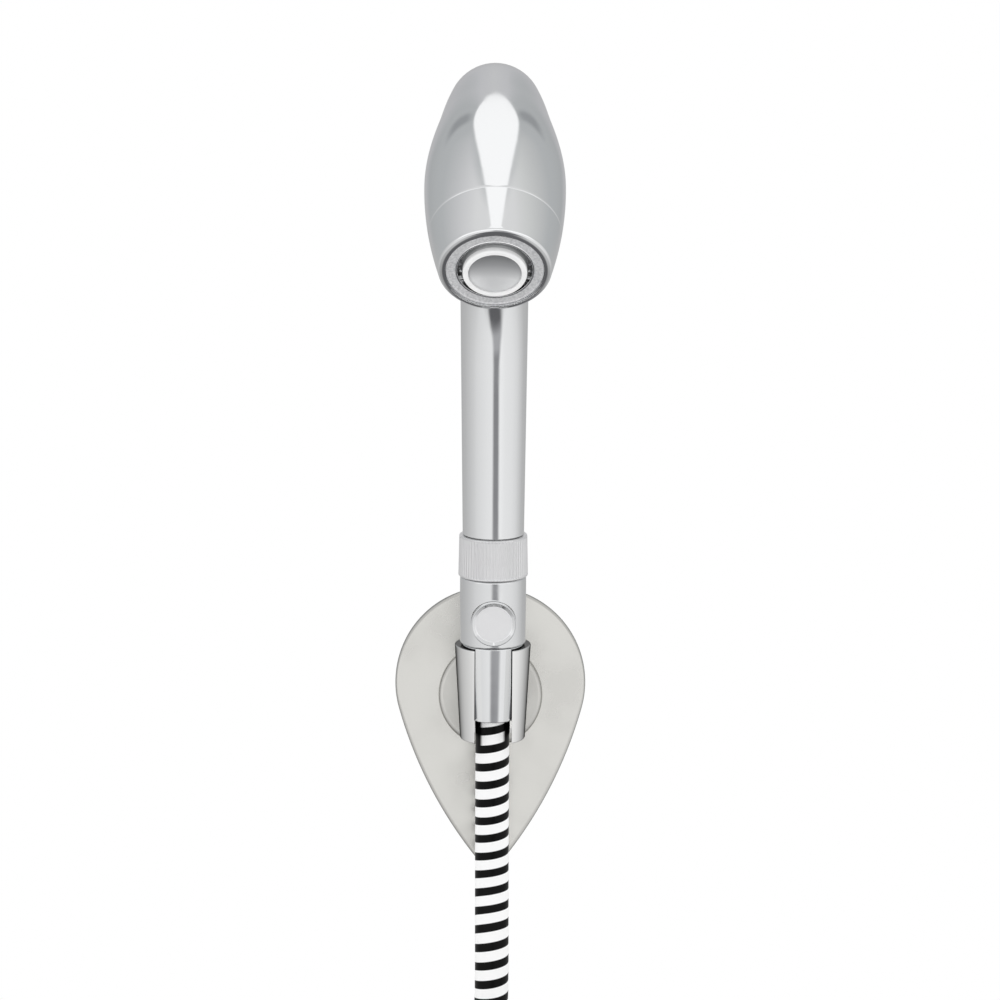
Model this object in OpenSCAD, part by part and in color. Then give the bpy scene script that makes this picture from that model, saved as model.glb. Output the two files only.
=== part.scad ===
// Handheld shower head with a push-button valve, its hose and its slotted wall holder.
// Millimetres, +Z up. The wall is the plane y = 0 and the user stands at -Y.
// The origin is the middle of the holder's round boss, on the wall.
// The handset leans forward; its own frame has +Z up along the grip and -Y to the front.

/* [Handset] */
// Forward lean of the handset in its holder, degrees
lean = 12; // [6:1:16]
// Grip diameter at its foot
grip_d = 25; // [24.4:0.1:26]
// Grip diameter where it runs into the head
grip_top_d = 27.6; // [26:0.2:29]
// Wall of the grip and the head
shell_wall = 2.4; // [2:0.1:2.8]
// Height of the nozzle rim's middle over the grip's foot
rim_rise = 118; // [110:1:130]
// Distance of the nozzle rim's middle in front of the grip's axis
rim_reach = 71; // [66:1:74]
// Turn of the grip on the valve, seen from above; the coupling nut holds it at any angle
grip_turn = -1.2; // [-3:0.2:3]

/* [Head] */
// Dip of the spray axis below square to the grip, degrees
head_dip = 37; // [34:1:40]
// Largest diameter of the head
head_d = 55.2; // [53:0.2:58]
// Distance of the largest diameter behind the rim
belly_back = 46; // [42:1:50]
// Diameter of the round rear crown
crown_d = 36.2; // [34:0.2:38]
// Distance of the crown's middle behind the rim
crown_back = 91; // [88:1:94]
// Diameter over the rounded front lip
lip_d = 43.8; // [42.6:0.2:45]
// Length of the nose shell, from the rim to the seam
nose_len = 20; // [18:0.5:22]
// Size of the soft blend between the grip and the head
throat_blend = 12; // [9:0.5:14]
// Height over the grip's foot at which its front begins to sweep towards the head
sweep_rise = 72; // [66:1:78]
// Radius of that sweep
sweep_r = 104; // [96:1:130]

/* [Nozzle] */
// Outer diameter of the satin face ring
face_d = 37.8; // [37:0.2:38.6]
// Inner diameter of the satin face ring
face_bore_d = 28.7; // [28:0.1:29.4]
// Depth of the face ring
face_ring_h = 3.2; // [2.6:0.2:3.4]
// Outer diameter of the white nozzle collar
collar_d = 24.7; // [24:0.1:25.4]
// Height that the collar stands out of the rim
collar_out = 1.6; // [1:0.1:2.4]
// Diameter of the grey dish in the collar
dish_d = 20.4; // [19:0.1:21]
// Depth of the dish's hollow
dish_depth = 2.2; // [1.4:0.1:2.6]
// Number of water outlets in the dark groove
outlet_count = 24; // [12:2:30]
// Diameter of a water outlet
outlet_d = 1.3; // [1:0.1:1.5]

/* [Coupling nut] */
// Diameter over the ribs at the foot of the nut
nut_d = 28.4; // [27.6:0.2:29.2]
// Length of the nut
nut_len = 16.8; // [15.6:0.2:18]
// Number of grip ribs round the nut
rib_count = 64; // [40:4:80]
// Depth of the grooves between the ribs
rib_depth = 0.5; // [0.3:0.1:0.6]
// Major diameter of the pipe threads, drawn plain
thread_d = 20.9; // [20.5:0.1:21.2]

/* [Valve] */
// Diameter of the valve body
valve_d = 27; // [26.4:0.2:28]
// Length of the valve body
valve_len = 28.1; // [27:0.1:30]
// Diameter of the push buttons
button_d = 18.2; // [17:0.2:19]
// Travel of the push button
button_travel = 4; // [3:0.5:4]
// Distance of the front button's face from the axis at rest
button_front = 16; // [15.4:0.2:16.6]
// Thickness of a button cap
cap_h = 3; // [2.6:0.2:3.2]
// Depth of the finger dish in the front button
press_depth = 0.9; // [0.6:0.1:1.2]
// Diameter of the valve spool
spool_d = 11.9; // [11:0.1:12.4]
// Diameter of the water passage across the spool
port_d = 4; // [3.4:0.2:4.4]
// Diameter of the neck that the coupling nut turns on
neck_d = 17.2; // [16.6:0.2:17.8]

/* [Hose end] */
// Diameter of the cone nut at its top
cone_top_d = 25.2; // [24.8:0.1:25.4]
// Diameter of the cone nut at its foot
cone_foot_d = 19.7; // [19.2:0.1:20.2]
// Length of the cone nut
cone_len = 31.8; // [30:0.2:34]
// Thickness of the flat sealing washers
washer_h = 2; // [1.6:0.1:2.2]
// Thickness of the nipple flanges
flange_h = 1.8; // [1.6:0.1:2.2]
// Diameter of the water way through the nipples
water_d = 7; // [6:0.5:7.5]

/* [Holder] */
// Distance of the socket's middle in front of the wall
arm_reach = 48; // [46:1:54]
// Height of the socket's middle over the boss
socket_rise = 4; // [2:1:5]
// Length of the socket
socket_len = 39.6; // [38:0.2:42]
// Outer diameter of the socket at its top
socket_top_d = 31.2; // [30.6:0.1:32]
// Outer diameter of the socket at its foot
socket_foot_d = 26.8; // [26:0.1:27.4]
// Width of the slot in the socket's front
slot_w = 15.4; // [14.6:0.1:16.4]
// Diameter of the arm between the boss and the socket
arm_d = 19; // [17:0.5:21]
// Diameter of the round boss
boss_d = 44; // [40:1:50]
// Height of the round boss over the cover
boss_h = 2.2; // [1.6:0.1:3]
// Diameter of the bolt through the arm
bolt_d = 8; // [6:0.5:9]

/* [Wall plate] */
// Radius of the plate's round top
plate_r = 40.2; // [36:0.2:44]
// Height of the round top's middle over the boss
plate_rise = 5.2; // [2:0.2:8]
// Radius of the plate's lower tip
tip_r = 8.6; // [7.6:0.2:11]
// Distance between the middles of the round top and the tip
tip_drop = 68.2; // [64:0.2:74]
// Radius of the plate's bowed flanks
flank_r = 180; // [140:5:260]
// Thickness of the cover plate over all
plate_t = 7; // [6.8:0.1:8]
// Wall of the cover plate
cover_wall = 1.6; // [1.4:0.1:1.8]
// Radius of the cover's front edge
edge_r = 1.5; // [1:0.1:2]
// Thickness of the mounting plate
mount_t = 2; // [1.6:0.1:2]
// Distance between the two wall screws
screw_pitch = 60; // [54:1:62]
// Diameter of the wall screw holes
screw_hole_d = 5; // [4:0.5:5.5]

/* [Hose] */
// Outer diameter of the hose
hose_d = 14; // [13.4:0.1:14.2]
// Mean diameter of the stored coil
coil_d = 150; // [140:2:168]
// Number of turns in the stored coil
coil_turns = 2.5; // [2.5:1:3.5]
// Straight tail of the hose after the coil
tail_len = 60; // [56:1:80]
// Width across the flats of the supply nut
supply_af = 25; // [24:0.5:27]
// Length of the supply nut
supply_len = 16; // [15:0.5:18]

/* [Hidden] */
$fn = 96;
through = 1;                          // overshoot of a cut past a face
run_gap = 0.05;                       // radial clearance of a turning or threaded fit
slide_gap = 0.1;                      // radial clearance of a button or a sliding piece
end_gap = 0.3;                        // clearance between the ends of turning pieces
cone_gap = 0.3;                       // radial clearance of the cone nut in the socket
seat_gap = 0.2;                       // clearance of a flange over a lip
ring_r = 0.8;                         // section radius of the O-rings
chamfer = 0.5;                        // broken edge of the turned parts

// Heights in the handset's own frame, from the middle of the socket
valve_z = socket_len / 2 + 0.7;
valve_top = valve_z + valve_len;
nut_z = valve_top + end_gap;
grip_z = nut_z + nut_len + end_gap;
button_z = valve_z + 11.1;

// Coupling: the nut's lip runs under a snap ring on the valve's neck
lip_h = 2.3;                          // height of a nut's inner lip
snap_h = 1.2;                         // thickness of the snap ring
snap_d = neck_d + 2.6;                // outer diameter of the snap ring
snap_groove_d = neck_d - 1.4;         // diameter of the ring's groove in the neck
snap_z = nut_z + lip_h + seat_gap;
neck_top = snap_z + snap_h + 1.4;
stub_z = neck_top + washer_h;         // foot of the grip's threaded stub
neck_bore_d = 10;                     // water way in the neck, stub and washers
regulator_d = 13.8;                   // diameter of the flow regulator
regulator_h = 2.5;
screen_h = 0.6;

// Hose end: the nipple's flange turns between the cone nut's lip and a washer
cone_top = valve_z - seat_gap;
cone_foot = cone_top - cone_len;
cone_slope = (cone_top_d - cone_foot_d) / 2 / cone_len;
spigot_len = 11;                      // length of the valve's lower thread
spigot_z = valve_z - spigot_len;
flange_top = spigot_z - washer_h - slide_gap;
flange_z = flange_top - flange_h;
cone_lip_top = flange_z - slide_gap;
shank_d = 9.4;                        // nipple shank inside the ferrule
ferrule_d = hose_d + 0.4;
skirt_bore_d = ferrule_d + 0.6;
ferrule_top = cone_lip_top - lip_h - seat_gap;
waist_d = 13.6;                       // nipple between its flange and the ferrule

// Head frame: +Z along the spray, origin at the middle of the rim, +Y to the head's top
face_sink = 0.6;                      // the face ring lies this deep behind the rim
seam_bore_d = head_d - 8.4;           // mouth of the body that takes the nose
spigot_depth = 8;                     // length of the nose's spigot in the mouth
lip_round = 1.8;                      // depth of the rounded lip
insert_h = 3;                         // flange of the nozzle collar
diffuser_h = 4;
diffuser_d = face_d - 3.4;
insert_d = face_d - 1.2;
insert_top = -face_sink - face_ring_h;
diffuser_top = insert_top - insert_h;
ledge_h = 2;                          // shoulder that carries the diffuser

// Wall plate
cover_front = -plate_t;
cavity_front = -plate_t + cover_wall;
mount_inset = cover_wall + end_gap;
boss_front = cover_front - boss_h;
bolt_head_h = 2.2;
bolt_head_d = bolt_d + 5;
bolt_washer_h = 0.8;
arm_front = -24;                      // the arm ends and the socket's stub begins
bolt_tip = -31;
ear_w = 12;                           // lug of the mounting plate for the cover screw
ear_len = 10;
ear_h = cavity_front + mount_t + 0.3;
cover_screw_d = 3;
tip_z = plate_rise - tip_drop;
ear_z = tip_z + 2;

// Hose route, chosen by hand: the middle of the hose where it isn't coiled
coil_z = -240;
tube_route = [
    [0, -38.0, -43.0], [0, -35.6, -54.5], [0, -33.2, -70.0], [0, -32.2, -86.0],
    [0, -31.8, -100.0], [0, -30.2, -115.0], [-0.5, -27.6, -130.0], [-4.5, -25.2, -149.0],
    [-16.0, -24.2, -168.0], [-34.0, -24.0, -182.5], [-54.0, -24.6, -195.0],
    [-68.5, -26.2, -215.0], [-74.5, -27.6, -234.0]
];
coil_y = -28;                         // middle of the first turn
coil_width = hose_d * (coil_turns + 1);
tail_y = coil_y - hose_d * coil_turns;
tie_w = 16;
tie_t = 1.6;
hose_sides = 12;
supply_ferrule_h = 14;
supply_lip_z = supply_ferrule_h + 0.8;
supply_flange_z = supply_lip_z + lip_h + seat_gap;
supply_washer_z = supply_flange_z + flange_h;
supply_thread_d = 20;
supply_flange_d = supply_thread_d - 0.8;

chrome = [0.80, 0.81, 0.83];
dark_chrome = [0.62, 0.63, 0.66];
steel = [0.66, 0.67, 0.69];
brass = [0.78, 0.66, 0.38];
white = [0.93, 0.93, 0.92];
grey = [0.60, 0.61, 0.62];
rubber = [0.12, 0.12, 0.13];

// ---- Frames and shared shapes ----

// Puts children drawn in the handset's frame into the holder
module in_holder() {
    translate([0, -arm_reach, socket_rise]) rotate([lean, 0, 0]) children();
}

// Puts children drawn in the handset's frame onto the turned grip
module on_grip() {
    in_holder() rotate(grip_turn) children();
}

// Puts children drawn in the head's frame onto the grip
module on_head() {
    on_grip() translate([0, -rim_reach, grip_z + rim_rise])
        rotate([90 + head_dip, 0, 0]) children();
}

// Turns children drawn along +Z so that they run along -Y, out of the wall
module from_wall() {
    rotate([90, 0, 0]) children();
}

// Round bar from z0 to z1 with broken edges
module turned(d, z0, z1, edge = chamfer) {
    rotate_extrude() polygon([[0, z0], [d / 2 - edge, z0], [d / 2, z0 + edge],
        [d / 2, z1 - edge], [d / 2 - edge, z1], [0, z1]]);
}

// Plain bar or bore from z0 to z1
module bar(d, z0, z1) {
    translate([0, 0, z0]) cylinder(d = d, h = z1 - z0);
}

// Flat ring from z0 to z1
module washer(d, bore, z0, z1) {
    difference() {
        bar(d, z0, z1);
        bar(bore, z0 - through, z1 + through);
    }
}

// O-ring whose section touches the bore of diameter d, at height z
module o_ring(d, z) {
    translate([0, 0, z]) rotate_extrude() translate([d / 2 - ring_r, 0]) circle(r = ring_r, $fn = 24);
}

// Smooth step of a cubic from value a and slope ma to value b and slope mb over length l
function cubic(t, l, a, ma, b, mb) =
    (2 * pow(t, 3) - 3 * t * t + 1) * a + (pow(t, 3) - 2 * t * t + t) * l * ma
    + (3 * t * t - 2 * pow(t, 3)) * b + (pow(t, 3) - t * t) * l * mb;

// ---- The handset's outer skin ----

belly_r = head_d / 2;
crown_r = crown_d / 2;
crown_turn = 16;                      // the flank meets the crown's ball at this angle
flank_end = crown_back + crown_r * sin(crown_turn);
flank_len = flank_end - belly_back;

// Radius of the head at a distance s behind the rim, in front of the crown
function head_r(s) = s < belly_back
    ? belly_r - (belly_r - lip_d / 2) * pow((belly_back - s) / (belly_back - lip_round), 2)
    : cubic((s - belly_back) / flank_len, flank_len, belly_r, 0,
        crown_r * cos(crown_turn), -tan(crown_turn));

// Unit vectors of the head's axis, backwards, and of its top side, as [y, z]
back = [cos(head_dip), sin(head_dip)];
top = [-sin(head_dip), cos(head_dip)];
rim = [-rim_reach, grip_z + rim_rise];
crown = rim + crown_back * back;
grip_end = crown[1] - 7;              // the grip's own form ends inside the crown

// How far the grip's front swells towards the head at height z
sweep_len = rim[1] - grip_z - sweep_rise;
function sweep(z) = z < rim[1] ? pow(max(z - rim[1] + sweep_len, 0), 2) / (2 * sweep_r)
    : z < grip_end ? cubic((z - rim[1]) / (grip_end - rim[1]), grip_end - rim[1],
        sweep_len * sweep_len / (2 * sweep_r), sweep_len / sweep_r, 0, 0) : 0;

// Signed distance of a point [x, y, z] from the bare head and from the bare grip
function head_gap(p) = let (q = [p[1], p[2]] - rim, s = q * back)
    s > flank_end ? norm([p[0], p[1] - crown[0], p[2] - crown[1]]) - crown_r
    : norm([p[0], q * top]) - head_r(s);
function grip_r(z) = (grip_d + (grip_top_d - grip_d) * (z - grip_z) / (throat[1] - grip_z)) / 2;
function grip_gap(p) = let (z = min(p[2], grip_end), r = grip_r(z))
    norm([p[0], p[1] < 0 ? p[1] * r / (r + sweep(z)) : p[1], max(p[2] - grip_end, 0)]) - r;

// Distance from the two run together with a soft blend
function skin_gap(p) = let (a = head_gap(p), b = grip_gap(p), h = max(throat_blend - abs(a - b), 0))
    min(a, b) - h * h / (4 * throat_blend);

// Distance from c along e at which the skin, lying inset deep, is crossed
function crossing(c, e, lo, hi, inset, n = 22) = n == 0 ? (lo + hi) / 2
    : let (mid = (lo + hi) / 2)
    skin_gap(c + mid * e) + inset < 0 ? crossing(c, e, mid, hi, inset, n - 1)
    : crossing(c, e, lo, mid, inset, n - 1);

// The throat: a line across the handset in front of the grip and under the head,
// about which the skin's sections fan round from the grip to the head
function throat_out(z) = grip_top_d / 2 + sweep(z) + throat_blend / 2;
function throat_z(z, n) = n == 0 ? z : throat_z(rim[1] + (rim_reach - throat_out(z)) * tan(head_dip)
    - (belly_r + throat_blend / 2) / cos(head_dip), n - 1);
throat = [-throat_out(throat_z(rim[1], 16)), throat_z(rim[1], 16)];
throat_side = -throat[0];
fan_turn = 90 + head_dip;

// A station of the skin: [middle y, middle z, lean of the section, room towards the throat]
grip_rings = 14;
fan_rings = 30;
nose_rings = 6;
throat_s = ([throat[0], throat[1]] - rim) * back;

function fan_station(a, inset) = let (e = [0, cos(a), sin(a)], t = [0, throat[0], throat[1]],
    near = -crossing(t + throat_side * e, -e, 0, throat_side, inset) + throat_side,
    far = crossing(t + throat_side * e, e, 0, 90, inset) + throat_side,
    m = (near + far) / 2)
    [throat[0] + m * cos(a), throat[1] + m * sin(a), a, m];
function stations(z0, s1, inset, detail = 1) = let (g = grip_rings * detail, f = fan_rings * detail,
    n = nose_rings * detail) concat(
    [for (i = [0:g - 1]) [0, z0 + (throat[1] - z0) * i / g, 0, throat_side]],
    [for (i = [0:f]) fan_station(fan_turn * i / f, inset)],
    [for (i = [1:n]) let (c = rim + (throat_s + (s1 - throat_s) * i / n) * back)
        [c[0], c[1], fan_turn, 90]]);

// Ring of points of the skin at one station
function skin_ring(st, inset, sides) = [for (i = [0:sides - 1])
    let (w = 360 * i / sides, e = [sin(w), cos(w) * cos(st[2]), cos(w) * sin(st[2])],
        room = cos(w) < -0.01 ? min(90, -st[3] / cos(w)) : 90,
        c = [0, st[0], st[1]])
    c + e * crossing(c, e, 0, room, inset)];

// Closed solid through rings of points, each with the same number of points
module loft(rings) {
    n = len(rings[0]);
    m = len(rings);
    points = [for (r = rings) each r];
    sides = [for (j = [0:m - 2]) for (i = [0:n - 1]) let (k = (i + 1) % n)
        each [[j * n + i, j * n + k, (j + 1) * n + i], [j * n + k, (j + 1) * n + k, (j + 1) * n + i]]];
    foot = [for (i = [n - 1:-1:0]) i];
    head = [for (i = [0:n - 1]) (m - 1) * n + i];
    polyhedron(points, concat([foot], sides, [head]), convexity = 8);
}

// ---- Handset ----

// Grip and head in one smooth shell, open at the seam, with a threaded stub at its foot
module handset_body() {
    floor_z = grip_z + shell_wall;
    color(chrome) difference() {
        union() {
            on_grip() difference() {
                loft([for (st = stations(grip_z, nose_len, 0)) skin_ring(st, 0, 40)]);
                loft([for (st = stations(floor_z, nose_len - through, shell_wall, 0.5))
                    skin_ring(st, shell_wall, 24)]);
            }
            in_holder() bar(thread_d, stub_z, floor_z + through);
        }
        in_holder() bar(regulator_d + 2 * run_gap, stub_z - through, stub_z + screen_h + regulator_h);
        in_holder() bar(neck_bore_d, stub_z, floor_z + 2 * through);
        on_head() bar(seam_bore_d, -nose_len - spigot_depth - end_gap, -nose_len + through);
    }
}

// Front shell of the head, pushed into the body's mouth
module nose_shell() {
    outline = [for (s = [nose_len:-1.4:lip_round]) [head_r(s), -s]];
    lip = [for (a = [0:15:90]) [face_d / 2 + (lip_d - face_d) / 2 * cos(a),
        -lip_round * (1 - sin(a))]];
    spigot_d = seam_bore_d - 2 * run_gap;
    color(chrome) on_head() difference() {
        rotate_extrude() polygon(concat(
            [[insert_d / 2 - 3, -nose_len - spigot_depth], [spigot_d / 2, -nose_len - spigot_depth],
                [spigot_d / 2, -nose_len]],
            outline, lip, [[insert_d / 2 - 3, 0]]));
        bar(face_d, -face_sink - face_ring_h, through);
        bar(insert_d, diffuser_top, 0);
        bar(diffuser_d, diffuser_top - diffuser_h, 0);
        bar(diffuser_d - 4, -nose_len, 0);
        translate([0, 0, -nose_len - spigot_depth - through])
            cylinder(d = seam_bore_d - 5, h = spigot_depth + through + nose_len
                + diffuser_top - diffuser_h - ledge_h);
        translate([0, 0, -nose_len - spigot_depth / 2]) rotate_extrude()
            translate([seam_bore_d / 2 - 2 * ring_r, -ring_r]) square(2 * ring_r + through);
    }
}

// O-ring that seals the nose in the body
module seam_seal() {
    color(rubber) on_head() o_ring(seam_bore_d, -nose_len - spigot_depth / 2);
}

// Slotted disc that spreads the water behind the outlets
module diffuser() {
    slots = 8;
    color(white) on_head() difference() {
        bar(diffuser_d, diffuser_top - diffuser_h, diffuser_top);
        bar(diffuser_d - 4, diffuser_top - diffuser_h / 2, diffuser_top + through);
        for (i = [0:slots - 1]) rotate(360 * i / slots) translate([diffuser_d / 4, 0, 0])
            bar(4, diffuser_top - diffuser_h - through, diffuser_top);
    }
}

// O-ring round the nozzle collar's flange
module nozzle_seal() {
    color(rubber) on_head() o_ring(insert_d, insert_top - insert_h / 2);
}

// White nozzle collar with the ring of outlets in its groove floor
module nozzle_collar() {
    outlet_ring_r = (face_bore_d + collar_d) / 4;
    rim_round = 0.8;
    color(white) on_head() difference() {
        union() {
            bar(insert_d, diffuser_top, insert_top);
            rotate_extrude() polygon(concat([[0, insert_top - through], [collar_d / 2, insert_top - through]],
                [for (a = [0:15:90]) [collar_d / 2 - rim_round * (1 - cos(a)),
                    collar_out - rim_round * (1 - sin(a))]],
                [[0, collar_out]]));
        }
        bar(dish_d, insert_top - insert_h / 2, collar_out + through);
        translate([0, 0, insert_top - insert_h / 2]) rotate_extrude()
            translate([insert_d / 2 - 2 * ring_r, -ring_r]) square(2 * ring_r + through);
        for (i = [0:outlet_count - 1]) rotate(360 * i / outlet_count) translate([outlet_ring_r, 0, 0])
            bar(outlet_d, diffuser_top - through, insert_top + through);
    }
}

// Grey hollowed dish in the middle of the collar
module spray_dish() {
    dish_top = collar_out - 0.6;
    dish_foot = insert_top - insert_h / 2;
    ball_r = (pow(dish_d / 2 - 0.5, 2) + dish_depth * dish_depth) / (2 * dish_depth);
    color(grey) on_head() difference() {
        bar(dish_d - 2 * run_gap, dish_foot, dish_top);
        translate([0, 0, dish_top - dish_depth + ball_r]) sphere(r = ball_r);
    }
}

// Satin ring that holds the nozzle in the nose
module face_ring() {
    color(dark_chrome) on_head() difference() {
        turned(face_d - 2 * run_gap, insert_top, -face_sink, 0.3);
        bar(face_bore_d, insert_top - through, 0);
    }
}

// Flow regulator in the grip's stub, with its small water hole
module flow_regulator() {
    color(white) in_holder() difference() {
        bar(regulator_d, stub_z + screen_h, stub_z + screen_h + regulator_h);
        bar(regulator_d / 3, stub_z, stub_z + screen_h + regulator_h + through);
    }
}

// Fine screen in front of the regulator
module inlet_screen() {
    pitch = 2.2;
    color(steel) in_holder() difference() {
        bar(regulator_d, stub_z, stub_z + screen_h);
        for (x = [-2:2]) for (y = [-2:2]) if (norm([x, y]) < 2.5)
            translate([x * pitch, y * pitch, 0]) bar(1.2, stub_z - through, stub_z + 2 * through);
    }
}

// ---- Coupling ----

// Ribbed nut that pulls the valve onto the grip's stub
module coupling_nut() {
    top_d = nut_d - 0.7;
    edge = 0.3;
    rib_ring = [for (i = [0:4 * rib_count - 1]) let (w = 90 * i / rib_count,
        r = i % 4 < 2 ? nut_d / 2 + through : top_d / 2 - rib_depth) r * [cos(w), sin(w)]];
    color(chrome) in_holder() difference() {
        intersection() {
            translate([0, 0, nut_z - through]) linear_extrude(nut_len + 2 * through) polygon(rib_ring);
            rotate_extrude() polygon([[0, nut_z], [nut_d / 2 - edge, nut_z],
                [nut_d / 2, nut_z + edge], [top_d / 2, nut_z + nut_len - edge],
                [top_d / 2 - edge, nut_z + nut_len], [0, nut_z + nut_len]]);
        }
        bar(neck_d + 2 * slide_gap, nut_z - through, nut_z + nut_len);
        bar(thread_d + 2 * run_gap, nut_z + lip_h, nut_z + nut_len + through);
    }
}

// Snap ring that holds the coupling nut on the valve's neck
module coupling_snap_ring() {
    color(steel) in_holder() difference() {
        washer(snap_d, snap_groove_d, snap_z, snap_z + snap_h);
        translate([-1, 0, snap_z - through]) cube([2, snap_d, snap_h + 2 * through]);
    }
}

// Flat washer between the valve and the grip's stub
module coupling_washer() {
    color(rubber) in_holder() washer(thread_d - 0.6, neck_bore_d, neck_top, stub_z);
}

// ---- Valve ----

guide_depth = button_front - cap_h - button_travel - slide_gap; // floor of the button guides
spool_front = -(button_front - cap_h);
spool_rear = guide_depth + end_gap;

// Valve body: cross bore for the spool, guides for the buttons, neck above and thread below
module valve_body() {
    color(chrome) in_holder() difference() {
        union() {
            turned(valve_d, valve_z, valve_top, 0.8);
            bar(neck_d, valve_top - through, neck_top);
            bar(thread_d, spigot_z, valve_z + through);
        }
        bar(port_d, spigot_z - through, neck_top + through);
        bar(neck_bore_d, spigot_z - through, valve_z - 2);
        bar(neck_bore_d, valve_top + 1, neck_top + through);
        washer(neck_d + through, snap_groove_d, snap_z, snap_z + snap_h);
        translate([0, 0, button_z]) rotate([90, 0, 0]) {
            bar(spool_d + 2 * run_gap, -valve_d, valve_d);
            bar(button_d + 2 * slide_gap, guide_depth, valve_d);
            bar(button_d + 2 * slide_gap, -valve_d, -guide_depth);
        }
    }
}

// Puts children drawn along the spool, +Z to the front, into the valve
module in_valve() {
    in_holder() translate([0, 0, button_z]) rotate([90, 0, 0]) children();
}

seal_front = guide_depth - ring_r - seat_gap;         // front seal, at rest
seal_rear = -(guide_depth - ring_r - seat_gap - button_travel);
waist_front = port_d / 2 + 0.5;
waist_rear = -(port_d / 2 + 0.6);
groove_d = spool_d + 2 * run_gap - 4 * ring_r;

// Spool with a waist that lets the water past, and two seal grooves
module valve_spool() {
    color(brass) in_valve() difference() {
        bar(spool_d, -spool_rear, -spool_front);
        washer(spool_d + through, spool_d / 2, waist_rear, waist_front);
        for (z = [seal_front, seal_rear])
            washer(spool_d + through, groove_d, z - ring_r, z + ring_r);
        bar(2.6, -spool_rear - through, -spool_rear + 6);
    }
}

// The spool's two O-rings
module spool_seals() {
    color(rubber) in_valve() for (z = [seal_front, seal_rear]) o_ring(spool_d + 2 * run_gap, z);
}

// Front button with a shallow finger dish
module push_button() {
    press_r = button_d / 2 - 0.4;
    color(chrome) in_valve() difference() {
        turned(button_d, -spool_front, button_front, 0.2);
        translate([0, 0, button_front - press_depth])
            cylinder(r1 = press_r - press_depth * 1.3, r2 = press_r, h = press_depth);
        bar(2 * press_r, button_front, button_front + through);
    }
}

// Rear button, with the screw's countersink
module rear_button() {
    color(chrome) in_valve() difference() {
        turned(button_d, -spool_rear - cap_h, -spool_rear, 0.4);
        bar(2.7, -spool_rear - cap_h - through, 0);
        bar(5.4, -spool_rear - cap_h - through, -spool_rear - cap_h + 1.6);
    }
}

// Screw that holds the rear button on the spool
module button_screw() {
    color(steel) in_valve() difference() {
        union() {
            bar(5.2, -spool_rear - cap_h + 0.2, -spool_rear - cap_h + 1.6);
            bar(2.5, -spool_rear - cap_h + 1, -spool_rear + 5);
        }
        translate([0, 0, -spool_rear - cap_h]) cylinder(d = 2.4, h = 1, $fn = 6);
    }
}

// ---- Hose end at the handset ----

// Cone nut that hangs in the socket and clamps the hose to the valve
module cone_nut() {
    color(chrome) in_holder() difference() {
        rotate_extrude() polygon([[0, cone_foot], [cone_foot_d / 2 - chamfer, cone_foot],
            [cone_foot_d / 2, cone_foot + chamfer], [cone_top_d / 2, cone_top - chamfer],
            [cone_top_d / 2 - chamfer, cone_top], [0, cone_top]]);
        bar(thread_d + 2 * run_gap, cone_lip_top, cone_top + through);
        bar(waist_d + 2 * slide_gap, cone_foot - through, cone_top);
        bar(skirt_bore_d, cone_foot - through, cone_lip_top - lip_h);
    }
}

// Flat washer between the valve's thread and the nipple
module hose_washer() {
    color(rubber) in_holder() washer(thread_d - 0.6, neck_bore_d, spigot_z - washer_h, spigot_z);
}

// Nipple inside the cone nut, crimped to the hose
module hose_nipple() {
    color(brass) in_holder() difference() {
        union() {
            bar(thread_d - 0.8, flange_z, flange_top);
            bar(waist_d, ferrule_top, flange_z + through);
            bar(shank_d, cone_foot, ferrule_top + through);
        }
        bar(water_d, cone_foot - through, flange_top + through);
    }
}

// Crimped ferrule round the nipple's shank
module hose_ferrule() {
    color(steel) in_holder() difference() {
        turned(ferrule_d, cone_foot, ferrule_top, 0.4);
        bar(shank_d, cone_foot - through, ferrule_top + through);
    }
}

// ---- Hose ----

function unit(v) = v / norm(v);

// Tube of the hose's diameter through a route of points, with flat ends square to u0 and u1
module hose_sweep(route, u0, u1) {
    n = len(route);
    loft([for (j = [0:n - 1]) let (
        u = j == 0 ? u0 : j == n - 1 ? u1 : unit(unit(route[j + 1] - route[j]) + unit(route[j] - route[j - 1])),
        side = unit(cross([0, 1, 0], u)), up = cross(u, side))
        [for (i = [0:hose_sides - 1]) let (w = -360 * i / hose_sides)
            route[j] + hose_d / 2 * (cos(w) * side + sin(w) * up)]]);
}

// Point on the handset's axis in the holder's frame
function on_axis(z) = [0, -arm_reach - z * sin(lean), socket_rise + z * cos(lean)];
hose_down = [0, sin(lean), -cos(lean)];

// Hose from the cone nut down to the coil
module hose_tube() {
    coil_side = [-coil_d / 2, coil_y, coil_z];
    color(rubber) hose_sweep(concat([on_axis(cone_foot), on_axis(cone_foot - 16)], tube_route, [coil_side]),
        hose_down, [0, 0, -1]);
}

// Outer shape of the coiled hose
module hose_coil() {
    color(rubber) translate([0, coil_y + hose_d / 2, coil_z]) from_wall() difference() {
        bar(coil_d + hose_d, 0, coil_width);
        bar(coil_d - hose_d, -through, coil_width + through);
    }
}

// Puts children drawn along the tail, +Z away from the coil, at the tail's start
module at_tail(z = 0) {
    translate([coil_d / 2, tail_y, coil_z + z]) children();
}

// Straight tail of the hose beside the coil
module hose_tail() {
    color(rubber) at_tail() bar(hose_d, hose_d, tail_len);
}

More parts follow.
